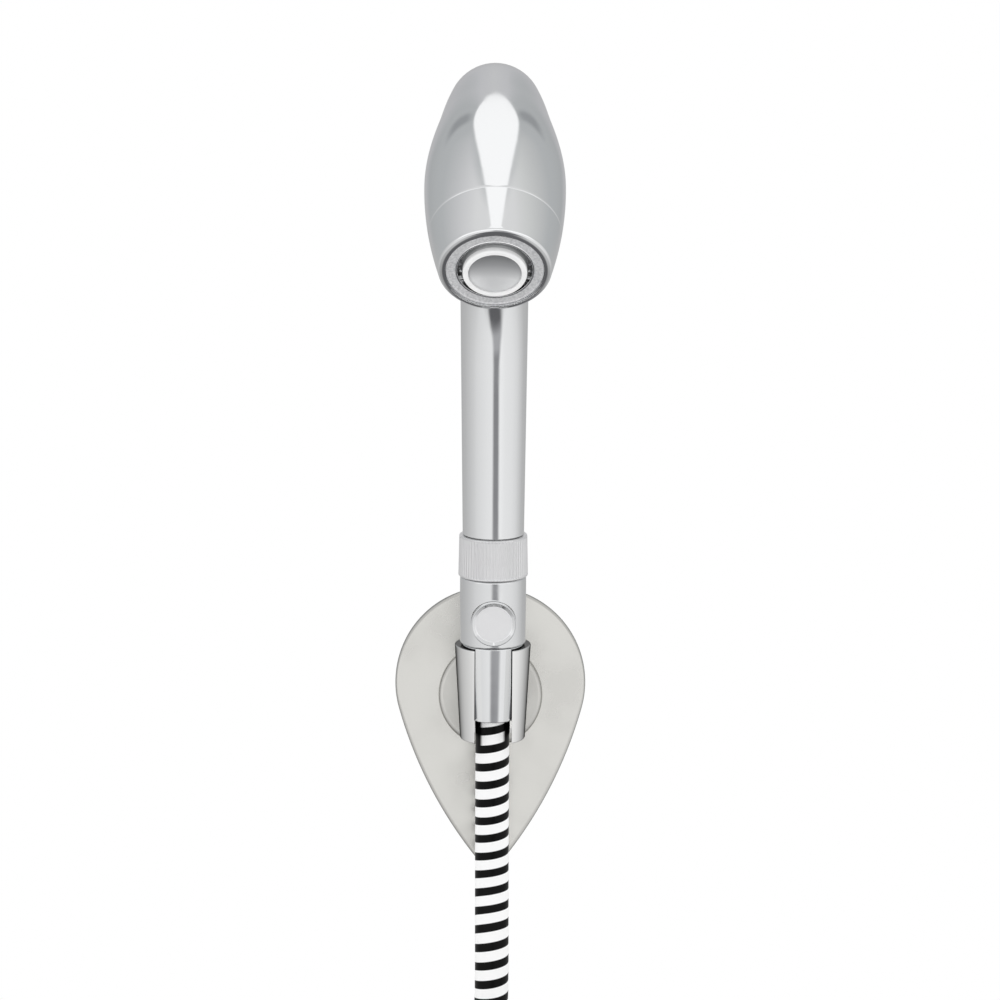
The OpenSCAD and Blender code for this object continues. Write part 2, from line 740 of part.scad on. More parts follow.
// Strap round the coil's lowest part
module coil_tie() {
    inner = [tie_w, coil_width + 2 * slide_gap, hose_d + 2 * slide_gap];
    outer = inner + [0, 2 * tie_t, 2 * tie_t];
    mid = [0, coil_y + hose_d / 2 - coil_width / 2, coil_z - coil_d / 2];
    sag = coil_d / 2 + hose_d / 2 + slide_gap;
    color(rubber) difference() {
        translate(mid + [0, 0, -slide_gap]) cube(outer, center = true);
        translate([0, mid[1] + inner[1] / 2, coil_z]) from_wall() difference() {
            bar(2 * sag, 0, inner[1]);
            bar(coil_d - hose_d - 2 * slide_gap, -through, inner[1] + through);
        }
    }
}

// ---- Hose end at the supply ----

module supply_ferrule() {
    color(steel) at_tail(tail_len) difference() {
        turned(ferrule_d, 0, supply_ferrule_h, 0.4);
        bar(shank_d, -through, supply_ferrule_h + through);
    }
}

module supply_nipple() {
    color(brass) at_tail(tail_len) difference() {
        union() {
            bar(shank_d, 0, supply_ferrule_h + through);
            bar(waist_d, supply_ferrule_h, supply_flange_z + through);
            bar(supply_flange_d, supply_flange_z, supply_washer_z);
        }
        bar(water_d, -through, supply_washer_z + through);
    }
}

module supply_washer() {
    color(rubber) at_tail(tail_len)
        washer(supply_flange_d, neck_bore_d, supply_washer_z, supply_washer_z + washer_h);
}

// Hexagon nut for the wall outlet
module supply_nut() {
    corner_d = supply_af / cos(30);
    top = supply_lip_z + supply_len;
    color(chrome) at_tail(tail_len) difference() {
        intersection() {
            translate([0, 0, supply_lip_z]) cylinder(d = corner_d, h = supply_len, $fn = 6);
            turned(corner_d, supply_lip_z, top, 1);
        }
        bar(waist_d + 2 * slide_gap, supply_lip_z - through, top);
        bar(supply_flange_d + 2 * slide_gap, supply_lip_z + lip_h, top);
        bar(supply_thread_d, supply_washer_z + washer_h, top + through);
    }
}

// ---- Wall plate ----

// The teardrop is made of four arcs: round top, two bowed flanks and tip
top_arm = flank_r - plate_r;
tip_arm = flank_r - tip_r;
flank_z = (plate_rise * plate_rise - tip_z * tip_z - top_arm * top_arm + tip_arm * tip_arm)
    / (2 * tip_drop);
flank_x = sqrt(top_arm * top_arm - pow(flank_z - plate_rise, 2));
top_turn = atan2(plate_rise - flank_z, flank_x);
tip_turn = atan2(tip_z - flank_z, flank_x);

// Arc points as seen from the wall's front: centre, radius, and the turn from a to b in n steps
function arc(c, r, a, b, n) = [for (i = [0:n - 1]) let (w = a + (b - a) * i / n) c + r * [cos(w), sin(w)]];

// Teardrop outline lying inset inside the full one
function teardrop(inset) = concat(
    arc([0, plate_rise], plate_r - inset, top_turn, 180 - top_turn, 36),
    arc([flank_x, flank_z], flank_r - inset, 180 - top_turn, 180 - tip_turn, 8),
    arc([0, tip_z], tip_r - inset, 180 - tip_turn, 360 + tip_turn, 10),
    arc([-flank_x, flank_z], flank_r - inset, 360 + tip_turn, 360 + top_turn, 8));

// Polished cover: a hollow teardrop shell with a rounded front edge
module cover_plate() {
    face = [for (a = [0:22.5:90]) [edge_r * (1 - cos(a)), cover_front + edge_r * (1 - sin(a))]];
    color(chrome) difference() {
        loft([for (q = concat([[0, 0]], face)) [for (p = teardrop(q[0])) [p[0], q[1], p[1]]]]);
        from_wall() translate([0, 0, -through])
            linear_extrude(through - cavity_front) polygon(teardrop(cover_wall));
        from_wall() bar(bolt_d + 2 * run_gap, 0, plate_t + through);
        translate([0, (cavity_front - mount_t) / 2, tip_z - tip_r - through])
            cylinder(d = cover_screw_d + 2 * slide_gap, h = tip_r);
    }
}

// Steel plate screwed to the wall, with a lug for the cover screw
module mounting_plate() {
    color(steel) difference() {
        union() {
            from_wall() linear_extrude(mount_t) polygon(teardrop(mount_inset));
            translate([-ear_w / 2, cavity_front + end_gap, ear_z])
                cube([ear_w, -cavity_front - end_gap - mount_t / 2, ear_len]);
        }
        for (z = [screw_pitch / 2, -screw_pitch / 2]) translate([0, through, z]) from_wall()
            bar(screw_hole_d, 0, mount_t + 2 * through);
        translate([0, (cavity_front - mount_t) / 2, ear_z - through])
            cylinder(d = cover_screw_d, h = ear_len + 2 * through);
    }
}

// Grub screw through the cover's tip into the mounting plate
module cover_screw() {
    color(steel) translate([0, (cavity_front - mount_t) / 2, tip_z - tip_r + 0.3]) difference() {
        cylinder(d = cover_screw_d, h = ear_z + ear_len / 2 - tip_z + tip_r);
        translate([0, 0, -through]) cylinder(d = 1.7, h = 2.4, $fn = 6);
    }
}

// ---- Holder ----

// Low round boss on the cover
module boss_disc() {
    edge = [for (a = [0:15:90]) [boss_d / 2 - boss_h * (1 - cos(a)), boss_h * sin(a)]];
    color(chrome) translate([0, cover_front, 0]) from_wall() difference() {
        rotate_extrude() polygon(concat([[0, 0]], edge, [[0, boss_h]]));
        bar(bolt_d + 2 * run_gap, -through, boss_h + through);
    }
}

// Arm from the boss to the socket
module socket_arm() {
    color(chrome) from_wall() difference() {
        turned(arm_d, -boss_front, -arm_front, 0.4);
        bar(bolt_d + 2 * run_gap, -boss_front - through, -arm_front + through);
    }
}

// Slotted cone that the handset hangs in
module socket() {
    top_r = socket_top_d / 2;
    foot_r = socket_foot_d / 2;
    half = socket_len / 2;
    bore_foot_r = cone_foot_d / 2 + cone_gap - (cone_foot + half + through) * cone_slope;
    bore_len = socket_len + 2 * through;
    color(chrome) difference() {
        union() {
            in_holder() rotate_extrude() polygon([[0, -half], [foot_r - chamfer, -half],
                [foot_r, -half + chamfer], [top_r, half - chamfer], [top_r - chamfer, half], [0, half]]);
            from_wall() bar(arm_d, -arm_front, arm_reach - foot_r / 2);
        }
        in_holder() translate([0, 0, -half - through])
            cylinder(r1 = bore_foot_r, r2 = bore_foot_r + bore_len * cone_slope, h = bore_len);
        in_holder() translate([-slot_w / 2, -top_r - through, -half - through])
            cube([slot_w, top_r + through, bore_len]);
        from_wall() bar(bolt_d + 2 * run_gap, -arm_front - through, -bolt_tip + end_gap);
    }
}

// Bolt from behind the cover through the boss and the arm into the socket
module arm_bolt() {
    head_front = cavity_front + bolt_washer_h;
    color(steel) from_wall() difference() {
        union() {
            bar(bolt_d, -head_front, -bolt_tip);
            bar(bolt_head_d, -head_front - bolt_head_h, -head_front);
        }
        translate([0, 0, -head_front - bolt_head_h - through])
            cylinder(d = bolt_d / 2, h = bolt_head_h, $fn = 6);
    }
}

// Washer under the bolt's head
module arm_washer() {
    color(steel) from_wall() washer(bolt_head_d + 3, bolt_d + 2 * run_gap,
        -cavity_front - bolt_washer_h, -cavity_front);
}

handset_body();
nose_shell();
seam_seal();
diffuser();
nozzle_seal();
nozzle_collar();
spray_dish();
face_ring();
flow_regulator();
inlet_screen();
coupling_nut();
coupling_snap_ring();
coupling_washer();
valve_body();
valve_spool();
spool_seals();
push_button();
rear_button();
button_screw();
cone_nut();
hose_washer();
hose_nipple();
hose_ferrule();
hose_tube();
hose_coil();
hose_tail();
coil_tie();
supply_ferrule();
supply_nipple();
supply_washer();
supply_nut();
cover_plate();
mounting_plate();
boss_disc();
socket_arm();
socket();
arm_bolt();
arm_washer();
cover_screw();
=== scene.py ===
"""Handheld shower head with its push-button valve, striped hose and wall holder, dressed for rendering.

Every piece is modelled in millimetres in a frame of its own and set into the model's frame in metres.
"""

from __future__ import annotations

import logging
import math
from dataclasses import dataclass
from enum import Enum
from typing import Iterable, Sequence

import bmesh
import bpy
from mathutils import Matrix, Vector

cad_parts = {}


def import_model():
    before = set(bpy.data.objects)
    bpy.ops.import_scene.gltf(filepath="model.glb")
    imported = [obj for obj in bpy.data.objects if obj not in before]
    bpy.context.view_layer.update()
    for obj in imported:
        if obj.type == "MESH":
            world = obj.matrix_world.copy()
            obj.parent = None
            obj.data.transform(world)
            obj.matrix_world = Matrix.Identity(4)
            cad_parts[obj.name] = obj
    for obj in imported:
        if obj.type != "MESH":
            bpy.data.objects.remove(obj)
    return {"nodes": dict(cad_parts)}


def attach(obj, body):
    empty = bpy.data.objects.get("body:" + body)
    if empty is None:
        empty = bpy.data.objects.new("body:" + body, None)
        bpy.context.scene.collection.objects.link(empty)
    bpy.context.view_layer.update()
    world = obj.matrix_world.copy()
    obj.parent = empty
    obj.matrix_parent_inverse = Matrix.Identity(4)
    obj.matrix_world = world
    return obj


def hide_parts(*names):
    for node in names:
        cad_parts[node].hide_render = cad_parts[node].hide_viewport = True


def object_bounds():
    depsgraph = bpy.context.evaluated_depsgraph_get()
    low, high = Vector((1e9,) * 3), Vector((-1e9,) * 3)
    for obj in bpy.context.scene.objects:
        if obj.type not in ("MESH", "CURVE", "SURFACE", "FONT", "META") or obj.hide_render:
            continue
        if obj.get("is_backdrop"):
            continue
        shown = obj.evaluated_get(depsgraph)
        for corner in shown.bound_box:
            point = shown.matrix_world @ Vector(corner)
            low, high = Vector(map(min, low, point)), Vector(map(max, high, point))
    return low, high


LOG = logging.getLogger("shower")
MM = 0.001
WELD = 1e-4

Corner = tuple[float, float, float]
Point = tuple[float, float]
Stops = Sequence[tuple[float, str]]
Tree = bpy.types.NodeTree
Socket = bpy.types.NodeSocket
Surface = dict[str, object]
Mesh = bmesh.types.BMesh
Ring = list[bmesh.types.BMVert]
Piece = bpy.types.Object

SMOOTH = {"interpolation_type": "SMOOTHSTEP"}
COLOUR = {"data_type": "RGBA"}


class Body(Enum):
    """The bodies of the model that pieces ride on."""

    BRACKET = "bracket"
    HOSE = "hose"
    SUPPLY_NUT = "supply_nut"
    HANDSET = "handset"
    COUPLING_NUT = "coupling_nut"
    BUTTON = "button"


# ---- Frames of the sub-assemblies ----


def turn(degrees: float, axis: str) -> Matrix:
    """Returns a turn about one axis."""
    return Matrix.Rotation(math.radians(degrees), 4, axis)


def shift(x: float = 0.0, y: float = 0.0, z: float = 0.0) -> Matrix:
    """Returns a shift."""
    return Matrix.Translation((x, y, z))


@dataclass(frozen=True)
class Places:
    """Frames, in millimetres, in which the pieces are drawn before they are set in place."""

    lean: float = 12.0
    grip_turn: float = -1.2
    arm_reach: float = 48.0
    socket_rise: float = 4.0
    grip_foot: float = 66.0
    rim_rise: float = 118.0
    rim_reach: float = 71.0
    head_dip: float = 37.0
    button_height: float = 31.6

    @property
    def model(self) -> Matrix:
        """The model's own frame, in millimetres."""
        return Matrix.Scale(MM, 4)

    @property
    def wall(self) -> Matrix:
        """+Z out of the wall, +Y up."""
        return self.model @ turn(90, "X")

    @property
    def handset(self) -> Matrix:
        """+Z up along the grip, from the middle of the socket."""
        return self.model @ shift(0, -self.arm_reach, self.socket_rise) @ turn(self.lean, "X")

    @property
    def grip(self) -> Matrix:
        """The handset's frame turned with the grip."""
        return self.handset @ turn(self.grip_turn, "Z")

    @property
    def head(self) -> Matrix:
        """+Z along the spray, from the middle of the nozzle's rim, +Y to the head's top."""
        rim = shift(0, -self.rim_reach, self.grip_foot + self.rim_rise)
        return self.grip @ rim @ turn(90 + self.head_dip, "X")

    @property
    def valve(self) -> Matrix:
        """+Z to the front along the valve's spool."""
        return self.handset @ shift(z=self.button_height) @ turn(90, "X")


PLACES = Places()


# ---- Colour and nodes ----


def linear(code: str) -> tuple[float, float, float, float]:
    """Turns an sRGB hex colour into a linear one.

    Args:
        code: the colour, such as "#c0c4c8".

    Returns:
        Red, green, blue and a full alpha.
    """
    parts = [int(code[i : i + 2], 16) / 255 for i in (1, 3, 5)]
    red, green, blue = (c / 12.92 if c <= 0.04045 else ((c + 0.055) / 1.055) ** 2.4 for c in parts)
    return (red, green, blue, 1.0)


def per_mm(size: float) -> float:
    """The scale of a texture whose cells are so many millimetres wide."""
    return 1 / (size * MM)


def feed(tree: Tree, target: bpy.types.Node, inputs: dict[int | str, object]) -> None:
    """Fills a node's sockets.

    Args:
        tree: the node's tree.
        target: the node.
        inputs: socket name or number against a value, or against the socket it is fed from.
    """
    for socket, value in inputs.items():
        if isinstance(value, bpy.types.NodeSocket):
            tree.links.new(value, target.inputs[socket])
        else:
            target.inputs[socket].default_value = value


def node(
    tree: Tree,
    kind: str,
    inputs: Sequence[object] | dict[int | str, object] = (),
    out: int | str = 0,
    stops: Stops = (),
    **settings: object,
) -> Socket:
    """Adds one node with its settings and links.

    Args:
        tree: the tree that it goes into.
        kind: its type, without the ShaderNode that leads it.
        inputs: its sockets' values or sources, in order, or by name or number.
        out: the output that is wanted.
        stops: a colour ramp's stops of (place, hex colour).
        settings: its properties.

    Returns:
        The wanted output.
    """
    made = tree.nodes.new("ShaderNode" + kind)
    for key, value in settings.items():
        setattr(made, key, value)
    feed(tree, made, inputs if isinstance(inputs, dict) else dict(enumerate(inputs)))
    for i, (place, code) in enumerate(stops):
        elements = made.color_ramp.elements
        element = elements[i] if i < len(elements) else elements.new(place)
        element.position = place
        element.color = linear(code)
    return made.outputs[out]


# ---- Finishes ----


@dataclass(frozen=True)
class Finish:
    """What every finish has: a name and the record's material slot."""

    name: str
    slot: str

    def surface(self, tree: Tree, at: Socket) -> Surface:
        """Describes the surface. Each kind of finish has its own.

        Args:
            tree: the material's tree.
            at: the place on the object, in metres.

        Returns:
            The shader's sockets against their values or sources.
        """
        raise NotImplementedError

    def material(self) -> bpy.types.Material:
        """Makes the finish a material, once.

        Returns:
            The material.
        """
        found = bpy.data.materials.get(self.name)
        if found:
            return found
        made = bpy.data.materials.new(self.name)
        made.use_nodes = True
        tree = made.node_tree
        feed(tree, tree.nodes["Principled BSDF"], self.surface(tree, node(tree, "TexCoord", out="Object")))
        return made


@dataclass(frozen=True)
class ChromePlate(Finish):
    """Bright chrome plate over moulded ABS or brass.

    Plating follows the polished part under it: a clear mirror with a faint long waviness,
    and thin smears where hands and water have dried on it.
    """

    tint: str = "#f1f2f3"
    edge_tint: str = "#ececec"
    roughness: float = 0.07
    smear: float = 0.05
    smear_mm: float = 14.0
    wave: float = 0.02
    wave_mm: float = 9.0

    def surface(self, tree: Tree, at: Socket) -> Surface:
        """Describes a mirror with smears in its roughness and a shallow waviness.

        Args:
            tree: the material's tree.
            at: the place on the object, in metres.

        Returns:
            The shader's sockets against their values or sources.
        """
        look = {"Detail": 5.0, "Roughness": 0.62, "Distortion": 0.6}
        smears = {"Vector": at, "Scale": per_mm(self.smear_mm)} | look
        smeared = node(tree, "TexNoise", smears, "Fac")
        waves = node(tree, "TexNoise", {"Vector": at, "Scale": per_mm(self.wave_mm), "Detail": 1.0}, "Fac")
        rough = (smeared, 0.42, 0.72, self.roughness, self.roughness + self.smear)
        return {
            "Base Color": linear(self.tint),
            "Specular Tint": linear(self.edge_tint),
            "Metallic": 1.0,
            "Roughness": node(tree, "MapRange", rough, **SMOOTH),
            "Normal": node(tree, "Bump", {"Distance": self.wave * MM, "Height": waves}),
        }


@dataclass(frozen=True)
class BrushedPlate(Finish):
    """Polished plate of pressed brass, plated: nearly a mirror, with fine wheel marks left by polishing."""

    tint: str = "#d1d0cc"
    edge_tint: str = "#808080"
    roughness: float = 0.19
    mark_mm: float = 0.5
    mark_depth_mm: float = 0.0015
    mark_slant: float = 0.5
    mark_stretch: float = 0.06
    cloud_mm: float = 22.0

    def surface(self, tree: Tree, at: Socket) -> Surface:
        """Describes long shallow marks across the plate, over a mirror.

        Args:
            tree: the material's tree.
            at: the place on the object, in metres.

        Returns:
            The shader's sockets against their values or sources.
        """
        slanted = {"Vector": at, "Rotation": (0, self.mark_slant, 0), "Scale": (1.0, 1.0, self.mark_stretch)}
        along = node(tree, "Mapping", slanted)
        marks = node(tree, "TexNoise", {"Vector": along, "Scale": per_mm(self.mark_mm), "Detail": 3.0}, "Fac")
        clouds = node(tree, "TexNoise", {"Vector": at, "Scale": per_mm(self.cloud_mm), "Detail": 4.0}, "Fac")
        rough = (clouds, 0.35, 0.7, self.roughness, self.roughness + 0.1)
        return {
            "Base Color": linear(self.tint),
            "Specular Tint": linear(self.edge_tint),
            "Metallic": 1.0,
            "Roughness": node(tree, "MapRange", rough, **SMOOTH),
            "Normal": node(tree, "Bump", {"Distance": self.mark_depth_mm * MM, "Height": marks}),
        }


@dataclass(frozen=True)
class SatinPlate(Finish):
    """Pearl plate: a satin metal with a milky base, spotted by touch."""

    tint: str = "#ededee"
    roughness: float = 0.42
    sheen: float = 0.7
    cloud_mm: float = 7.0

    def surface(self, tree: Tree, at: Socket) -> Surface:
        """Describes an even sheen with soft clouds in its roughness.

        Args:
            tree: the material's tree.
            at: the place on the object, in metres.

        Returns:
            The shader's sockets against their values or sources.
        """
        clouds = node(tree, "TexNoise", {"Vector": at, "Scale": per_mm(self.cloud_mm), "Detail": 4.0}, "Fac")
        rough = (clouds, 0.3, 0.7, self.roughness, self.roughness + 0.08)
        return {
            "Base Color": linear(self.tint),
            "Metallic": self.sheen,
            "Roughness": node(tree, "MapRange", rough, **SMOOTH),
        }


@dataclass(frozen=True)
class PaintedShadeSatin(SatinPlate):
    """Satin plastic whose tone runs from its foot to its top.

    The tone is painted shade. On the dish the top is painted darker than the foot, as the hollow's shade. In
    the groove the foot is painted dark and the top lighter, as the shade deep in the groove.
    """

    # Painted shade: the tones at the middle and at the top of the nozzle; tint is the tone at the foot.
    between: str = "#b4b5b7"
    upper: str = "#848587"
    reach_mm: float = 10.0

    def surface(self, tree: Tree, at: Socket) -> Surface:
        """Describes the satin over painted shade that goes by the height on the nozzle.

        Args:
            tree: the material's tree.
            at: the place on the object, in metres.

        Returns:
            The shader's sockets against their values or sources.
        """
        upward = PLACES.head.to_3x3().normalized().col[1]
        out = node(tree, "VectorMath", (at, PLACES.head.translation), operation="SUBTRACT")
        height = node(tree, "VectorMath", (out, upward), "Value", operation="DOT_PRODUCT")
        share = node(tree, "MapRange", (height, -self.reach_mm * MM, self.reach_mm * MM))
        # Painted shade: the tone goes from the foot to the top of the nozzle, as light falls there.
        painted_shade_tones = ((0.0, self.tint), (0.3, self.tint), (0.62, self.between), (0.92, self.upper))
        return super().surface(tree, at) | {"Base Color": node(tree, "ValToRGB", (share,), stops=painted_shade_tones)}


@dataclass(frozen=True)
class TurnedSatin(Finish):
    """Satin plated ring: fine turning marks round the spray's axis, and a light grain struck over them.

    The marks spread the mirror image across themselves, so the ring is dark over and under its middle
    and light at both sides.
    """

    tint: str = "#f4f4f5"
    shade: str = "#cfd0d2"
    roughness: float = 0.5
    spread: float = 0.8
    grain_mm: float = 0.8
    depth_mm: float = 0.022
    sheen: float = 0.45

    def surface(self, tree: Tree, at: Socket) -> Surface:
        """Describes the marks as a spread along the ring, and the grain in the relief and the colour.

        Args:
            tree: the material's tree.
            at: the place on the object, in metres.

        Returns:
            The shader's sockets against their values or sources.
        """
        axis = PLACES.head.to_3x3().normalized().col[2]
        out = node(tree, "VectorMath", (at, PLACES.head.translation), operation="SUBTRACT")
        along = node(tree, "VectorMath", (axis, out), operation="CROSS_PRODUCT")
        along = node(tree, "VectorMath", (along,), operation="NORMALIZE")
        kinds = {"vector_type": "VECTOR", "convert_from": "OBJECT", "convert_to": "WORLD"}
        grains = {"Vector": at, "Scale": per_mm(self.grain_mm), "Randomness": 1.0}
        grain = node(tree, "TexVoronoi", grains, "Distance", feature="SMOOTH_F1")
        return {
            "Base Color": node(tree, "ValToRGB", (grain,), stops=((0.1, self.tint), (0.8, self.shade))),
            "Metallic": self.sheen,
            "Roughness": self.roughness,
            "Anisotropic": self.spread,
            "Tangent": node(tree, "VectorTransform", (along,), **kinds),
            "Normal": node(tree, "Bump", {"Strength": 0.8, "Distance": self.depth_mm * MM, "Height": grain}),
        }


@dataclass(frozen=True)
class Moulded(Finish):
    """Injection-moulded plastic: even colour, soft sheen and a faint orange peel from the mould."""

    colour: str = "#eeeeec"
    shade: str = "#e2e2e0"
    roughness: float = 0.32
    tone_mm: float = 6.0
    peel_mm: float = 0.5
    peel_depth_mm: float = 0.006

    def surface(self, tree: Tree, at: Socket) -> Surface:
        """Describes two close tones and a fine peel.

        Args:
            tree: the material's tree.
            at: the place on the object, in metres.

        Returns:
            The shader's sockets against their values or sources.
        """
        tone = node(tree, "TexNoise", {"Vector": at, "Scale": per_mm(self.tone_mm), "Detail": 3.0}, "Fac")
        peel = node(tree, "TexNoise", {"Vector": at, "Scale": per_mm(self.peel_mm), "Detail": 2.0}, "Fac")
        return {
            "Base Color": node(tree, "ValToRGB", (tone,), stops=((0.3, self.shade), (0.7, self.colour))),
            "Roughness": self.roughness,
            "IOR": 1.5,
            "Normal": node(tree, "Bump", {"Distance": self.peel_depth_mm * MM, "Height": peel}),
        }


@dataclass(frozen=True)
class TurnedMetal(Finish):
    """Plain metal as it leaves the lathe or the press: fine turning lines and a dull shine."""

    tint: str = "#b7b9bc"
    dark: str = "#9c9ea2"
    roughness: float = 0.36
    line_mm: float = 0.25
    line_depth_mm: float = 0.004
    line_stretch: float = 0.1

    def surface(self, tree: Tree, at: Socket) -> Surface:
        """Describes fine lines across the height, in colour and relief.

        Args:
            tree: the material's tree.
            at: the place on the object, in metres.

        Returns:
            The shader's sockets against their values or sources.
        """
        flat = node(tree, "Mapping", {"Vector": at, "Scale": (self.line_stretch, self.line_stretch, 1.0)})
        lines = node(tree, "TexNoise", {"Vector": flat, "Scale": per_mm(self.line_mm), "Detail": 3.0}, "Fac")
        return {
            "Base Color": node(tree, "ValToRGB", (lines,), stops=((0.35, self.dark), (0.65, self.tint))),
            "Metallic": 1.0,
            "Roughness": self.roughness,
            "Normal": node(tree, "Bump", {"Distance": self.line_depth_mm * MM, "Height": lines}),
        }


@dataclass(frozen=True)
class StripedHose(Finish):
    """Smooth PVC shower hose: a black and a white ribbon wound side by side under a clear glossy skin.

    The pattern runs on the hose's own map: U once round it, and V in turns of the ribbon along it. Black is
    painted over the first turns, as the socket's shadow on them, but for a window at their front.
    """

    white: str = "#fbfbfb"
    black: str = "#020202"
    black_share: float = 0.45
    edge: float = 0.015
    # Painted shadow: the first turns are black all round but for a window at the front, as shade inside the
    # socket.
    painted_shadow_turns: float = 1.5
    painted_shadow_edge: float = 0.03
    window: float = 0.115
    window_edge: float = 0.02

    def surface(self, tree: Tree, at: Socket) -> Surface:
        """Describes helical ribbons with crisp edges, and the painted shadow over the first turns.

        Args:
            tree: the material's tree.
            at: the place on the object, in metres, which this pattern doesn't need.

        Returns:
            The shader's sockets against their values or sources.
        """
        around, along, _ = node(tree, "SeparateXYZ", (node(tree, "TexCoord", out="UV"),)).node.outputs
        turned = node(tree, "Math", (along, around), operation="SUBTRACT")
        phase = node(tree, "Math", (turned,), operation="FRACT")
        lap = node(tree, "Math", (around,), operation="FRACT")
        off, beside = (node(tree, "Math", (share, 0.5), operation="SUBTRACT") for share in (phase, lap))
        off, beside = (node(tree, "Math", (share,), operation="ABSOLUTE") for share in (off, beside))
        aside = node(tree, "Math", (0.5, beside), operation="SUBTRACT")
        half = self.black_share / 2
        white = node(tree, "MapRange", (off, half - self.edge, half + self.edge), **SMOOTH)
        # Painted shadow of the socket: black over the first turns, but for the lit window at the front.
        low, high = self.window - self.window_edge, self.window + self.window_edge
        front = node(tree, "MapRange", (aside, low, high, 1.0, 0.0), **SMOOTH)
        low, high = self.painted_shadow_turns - self.painted_shadow_edge, self.painted_shadow_turns + self.painted_shadow_edge
        past_painted_shadow = node(tree, "MapRange", (along, low, high), **SMOOTH)
        seen = node(tree, "Math", (front, past_painted_shadow), operation="MAXIMUM")
        white = node(tree, "Math", (white, seen), operation="MULTIPLY")
        ribbons = {0: white, 6: linear(self.black), 7: linear(self.white)}
        return {
            "Base Color": node(tree, "Mix", ribbons, 2, **COLOUR),
            "Roughness": 0.4,
            "IOR": 1.45,
            "Specular IOR Level": 0.15,
            "Coat Weight": 0.05,
            "Coat Roughness": 0.12,
        }


@dataclass(frozen=True)
class Webbing(Finish):
    """Woven polyester strap: short crossing threads, a little coarser than they are so that they show."""

    colour: str = "#1b1c1e"
    light: str = "#2c2d30"
    thread_mm: float = 5.4
    depth_mm: float = 0.15

    def surface(self, tree: Tree, at: Socket) -> Surface:
        """Describes crossed waves for the weave.

        Args:
            tree: the material's tree.
            at: the place on the object, in metres.

        Returns:
            The shader's sockets against their values or sources.
        """
        warp, weft = (
            node(tree, "TexWave", {"Vector": at, "Scale": per_mm(self.thread_mm)}, "Fac", bands_direction=way)
            for way in ("X", "DIAGONAL")
        )
        weave = node(tree, "Math", (warp, weft), operation="MULTIPLY")
        return {
            "Base Color": node(tree, "ValToRGB", (weave,), stops=((0.1, self.colour), (0.9, self.light))),
            "Roughness": 0.85,
            "Normal": node(tree, "Bump", {"Strength": 0.8, "Distance": self.depth_mm * MM, "Height": weave}),
        }


CHROME = ChromePlate("bright_chrome_plate", "chrome")
# The near-black edge tint darkens the holder's reflections at grazing angles: a painted dark reflection along
# its outlines.
HOLDER_CHROME = ChromePlate("holder_chrome_plate", "holder_chrome", tint="#fdfdfc", edge_tint="#202020")
NUT_CHROME = ChromePlate("supply_nut_chrome_plate", "nut_chrome", roughness=0.12)
VALVE_CHROME = ChromePlate("valve_chrome_plate", "chrome", "#ecedee", roughness=0.13, smear=0.09, wave=0.035)
RIB_CHROME = SatinPlate("ribbed_chrome_plate", "chrome", tint="#e8e8e9", roughness=0.36, sheen=0.8)
BUTTON_CHROME = SatinPlate("satin_button_chrome", "chrome", tint="#f6f6f7", sheen=0.6)
PLATE = BrushedPlate("polished_wall_plate", "plate_chrome")
BOSS = BrushedPlate("polished_boss", "holder_chrome", edge_tint="#ffffff", roughness=0.32)
SATIN = TurnedSatin("satin_face_ring", "satin_ring")
ACETAL = Moulded("white_acetal", "white_plastic", "#fafafa", "#f4f4f4")
# Painted shade in the groove: dark at its foot, lighter towards its top, where the groove lies in shadow.
GROOVE_SHADE = PaintedShadeSatin(
    "painted_shade_groove",
    "white_plastic",
    "#2c2d2e",
    roughness=0.5,
    sheen=0.0,
    between="#9fa0a1",
    upper="#c6c7c8",
    reach_mm=14.0,
)
# Painted shade on the dish: its top darker and its foot lighter, as the hollow is lit from above.
DISH = PaintedShadeSatin("grey_dish_abs_painted_shade", "grey_plastic", "#f0f1f2", roughness=0.34, sheen=0.45)
RUBBER = Moulded("black_epdm", "seal_rubber", "#202122", "#18191a", roughness=0.6)
STEEL = TurnedMetal("stainless_steel", "steel")
BRASS = TurnedMetal("turned_brass", "brass", "#cdae62", "#b3924a")
HOSE_PVC = StripedHose("striped_pvc_hose", "hose_sleeve")
STRAP = Webbing("woven_strap", "strap")


# ---- Mesh helpers ----


def rounded(corners: Sequence[Corner], steps: int = 6) -> list[Point]:
    """Turns corners of (x, y, fillet radius) into an outline with round fillets.

    Args:
        corners: the corners in order. The first and last are kept as they are.
        steps: the number of pieces in a fillet.

    Returns:
        The outline's points.
    """
    points: list[Point] = []
    for i, (x, y, fillet) in enumerate(corners):
        corner = Vector((x, y))
        if fillet <= 0 or i in (0, len(corners) - 1):
            points.append((x, y))
            continue
        before = (Vector(corners[i - 1][:2]) - corner).normalized()
        after = (Vector(corners[i + 1][:2]) - corner).normalized()
        half = before.angle(after) / 2
        middle = corner + (before + after).normalized() * fillet / math.sin(half)
        reach = fillet / math.tan(half)
        start, end = corner + before * reach - middle, corner + after * reach - middle
        sweep = start.angle_signed(end)
        for k in range(steps + 1):
            spoke = Matrix.Rotation(-sweep * k / steps, 2) @ start
            points.append(tuple(middle + spoke))
    return points


def spun(profile: Iterable[Point], steps: int = 160) -> Mesh:
    """Spins a profile of (radius, height) points about Z into a closed solid.

    Args:
        profile: the points. Both ends lie on the axis, or the outline is closed.
        steps: the number of sides.

    Returns:
        The mesh.
    """
    bm = bmesh.new()
    verts = [bm.verts.new((r, 0, z)) for r, z in profile]
    edges = [bm.edges.new(pair) for pair in zip(verts, verts[1:])]
    if verts[0].co.x > WELD:
        edges.append(bm.edges.new((verts[-1], verts[0])))
    circle = {"cent": (0, 0, 0), "axis": (0, 0, 1), "angle": math.tau}
    bmesh.ops.spin(bm, geom=verts + edges, steps=steps, use_merge=True, **circle)
    bmesh.ops.remove_doubles(bm, verts=bm.verts, dist=WELD)
    return bm


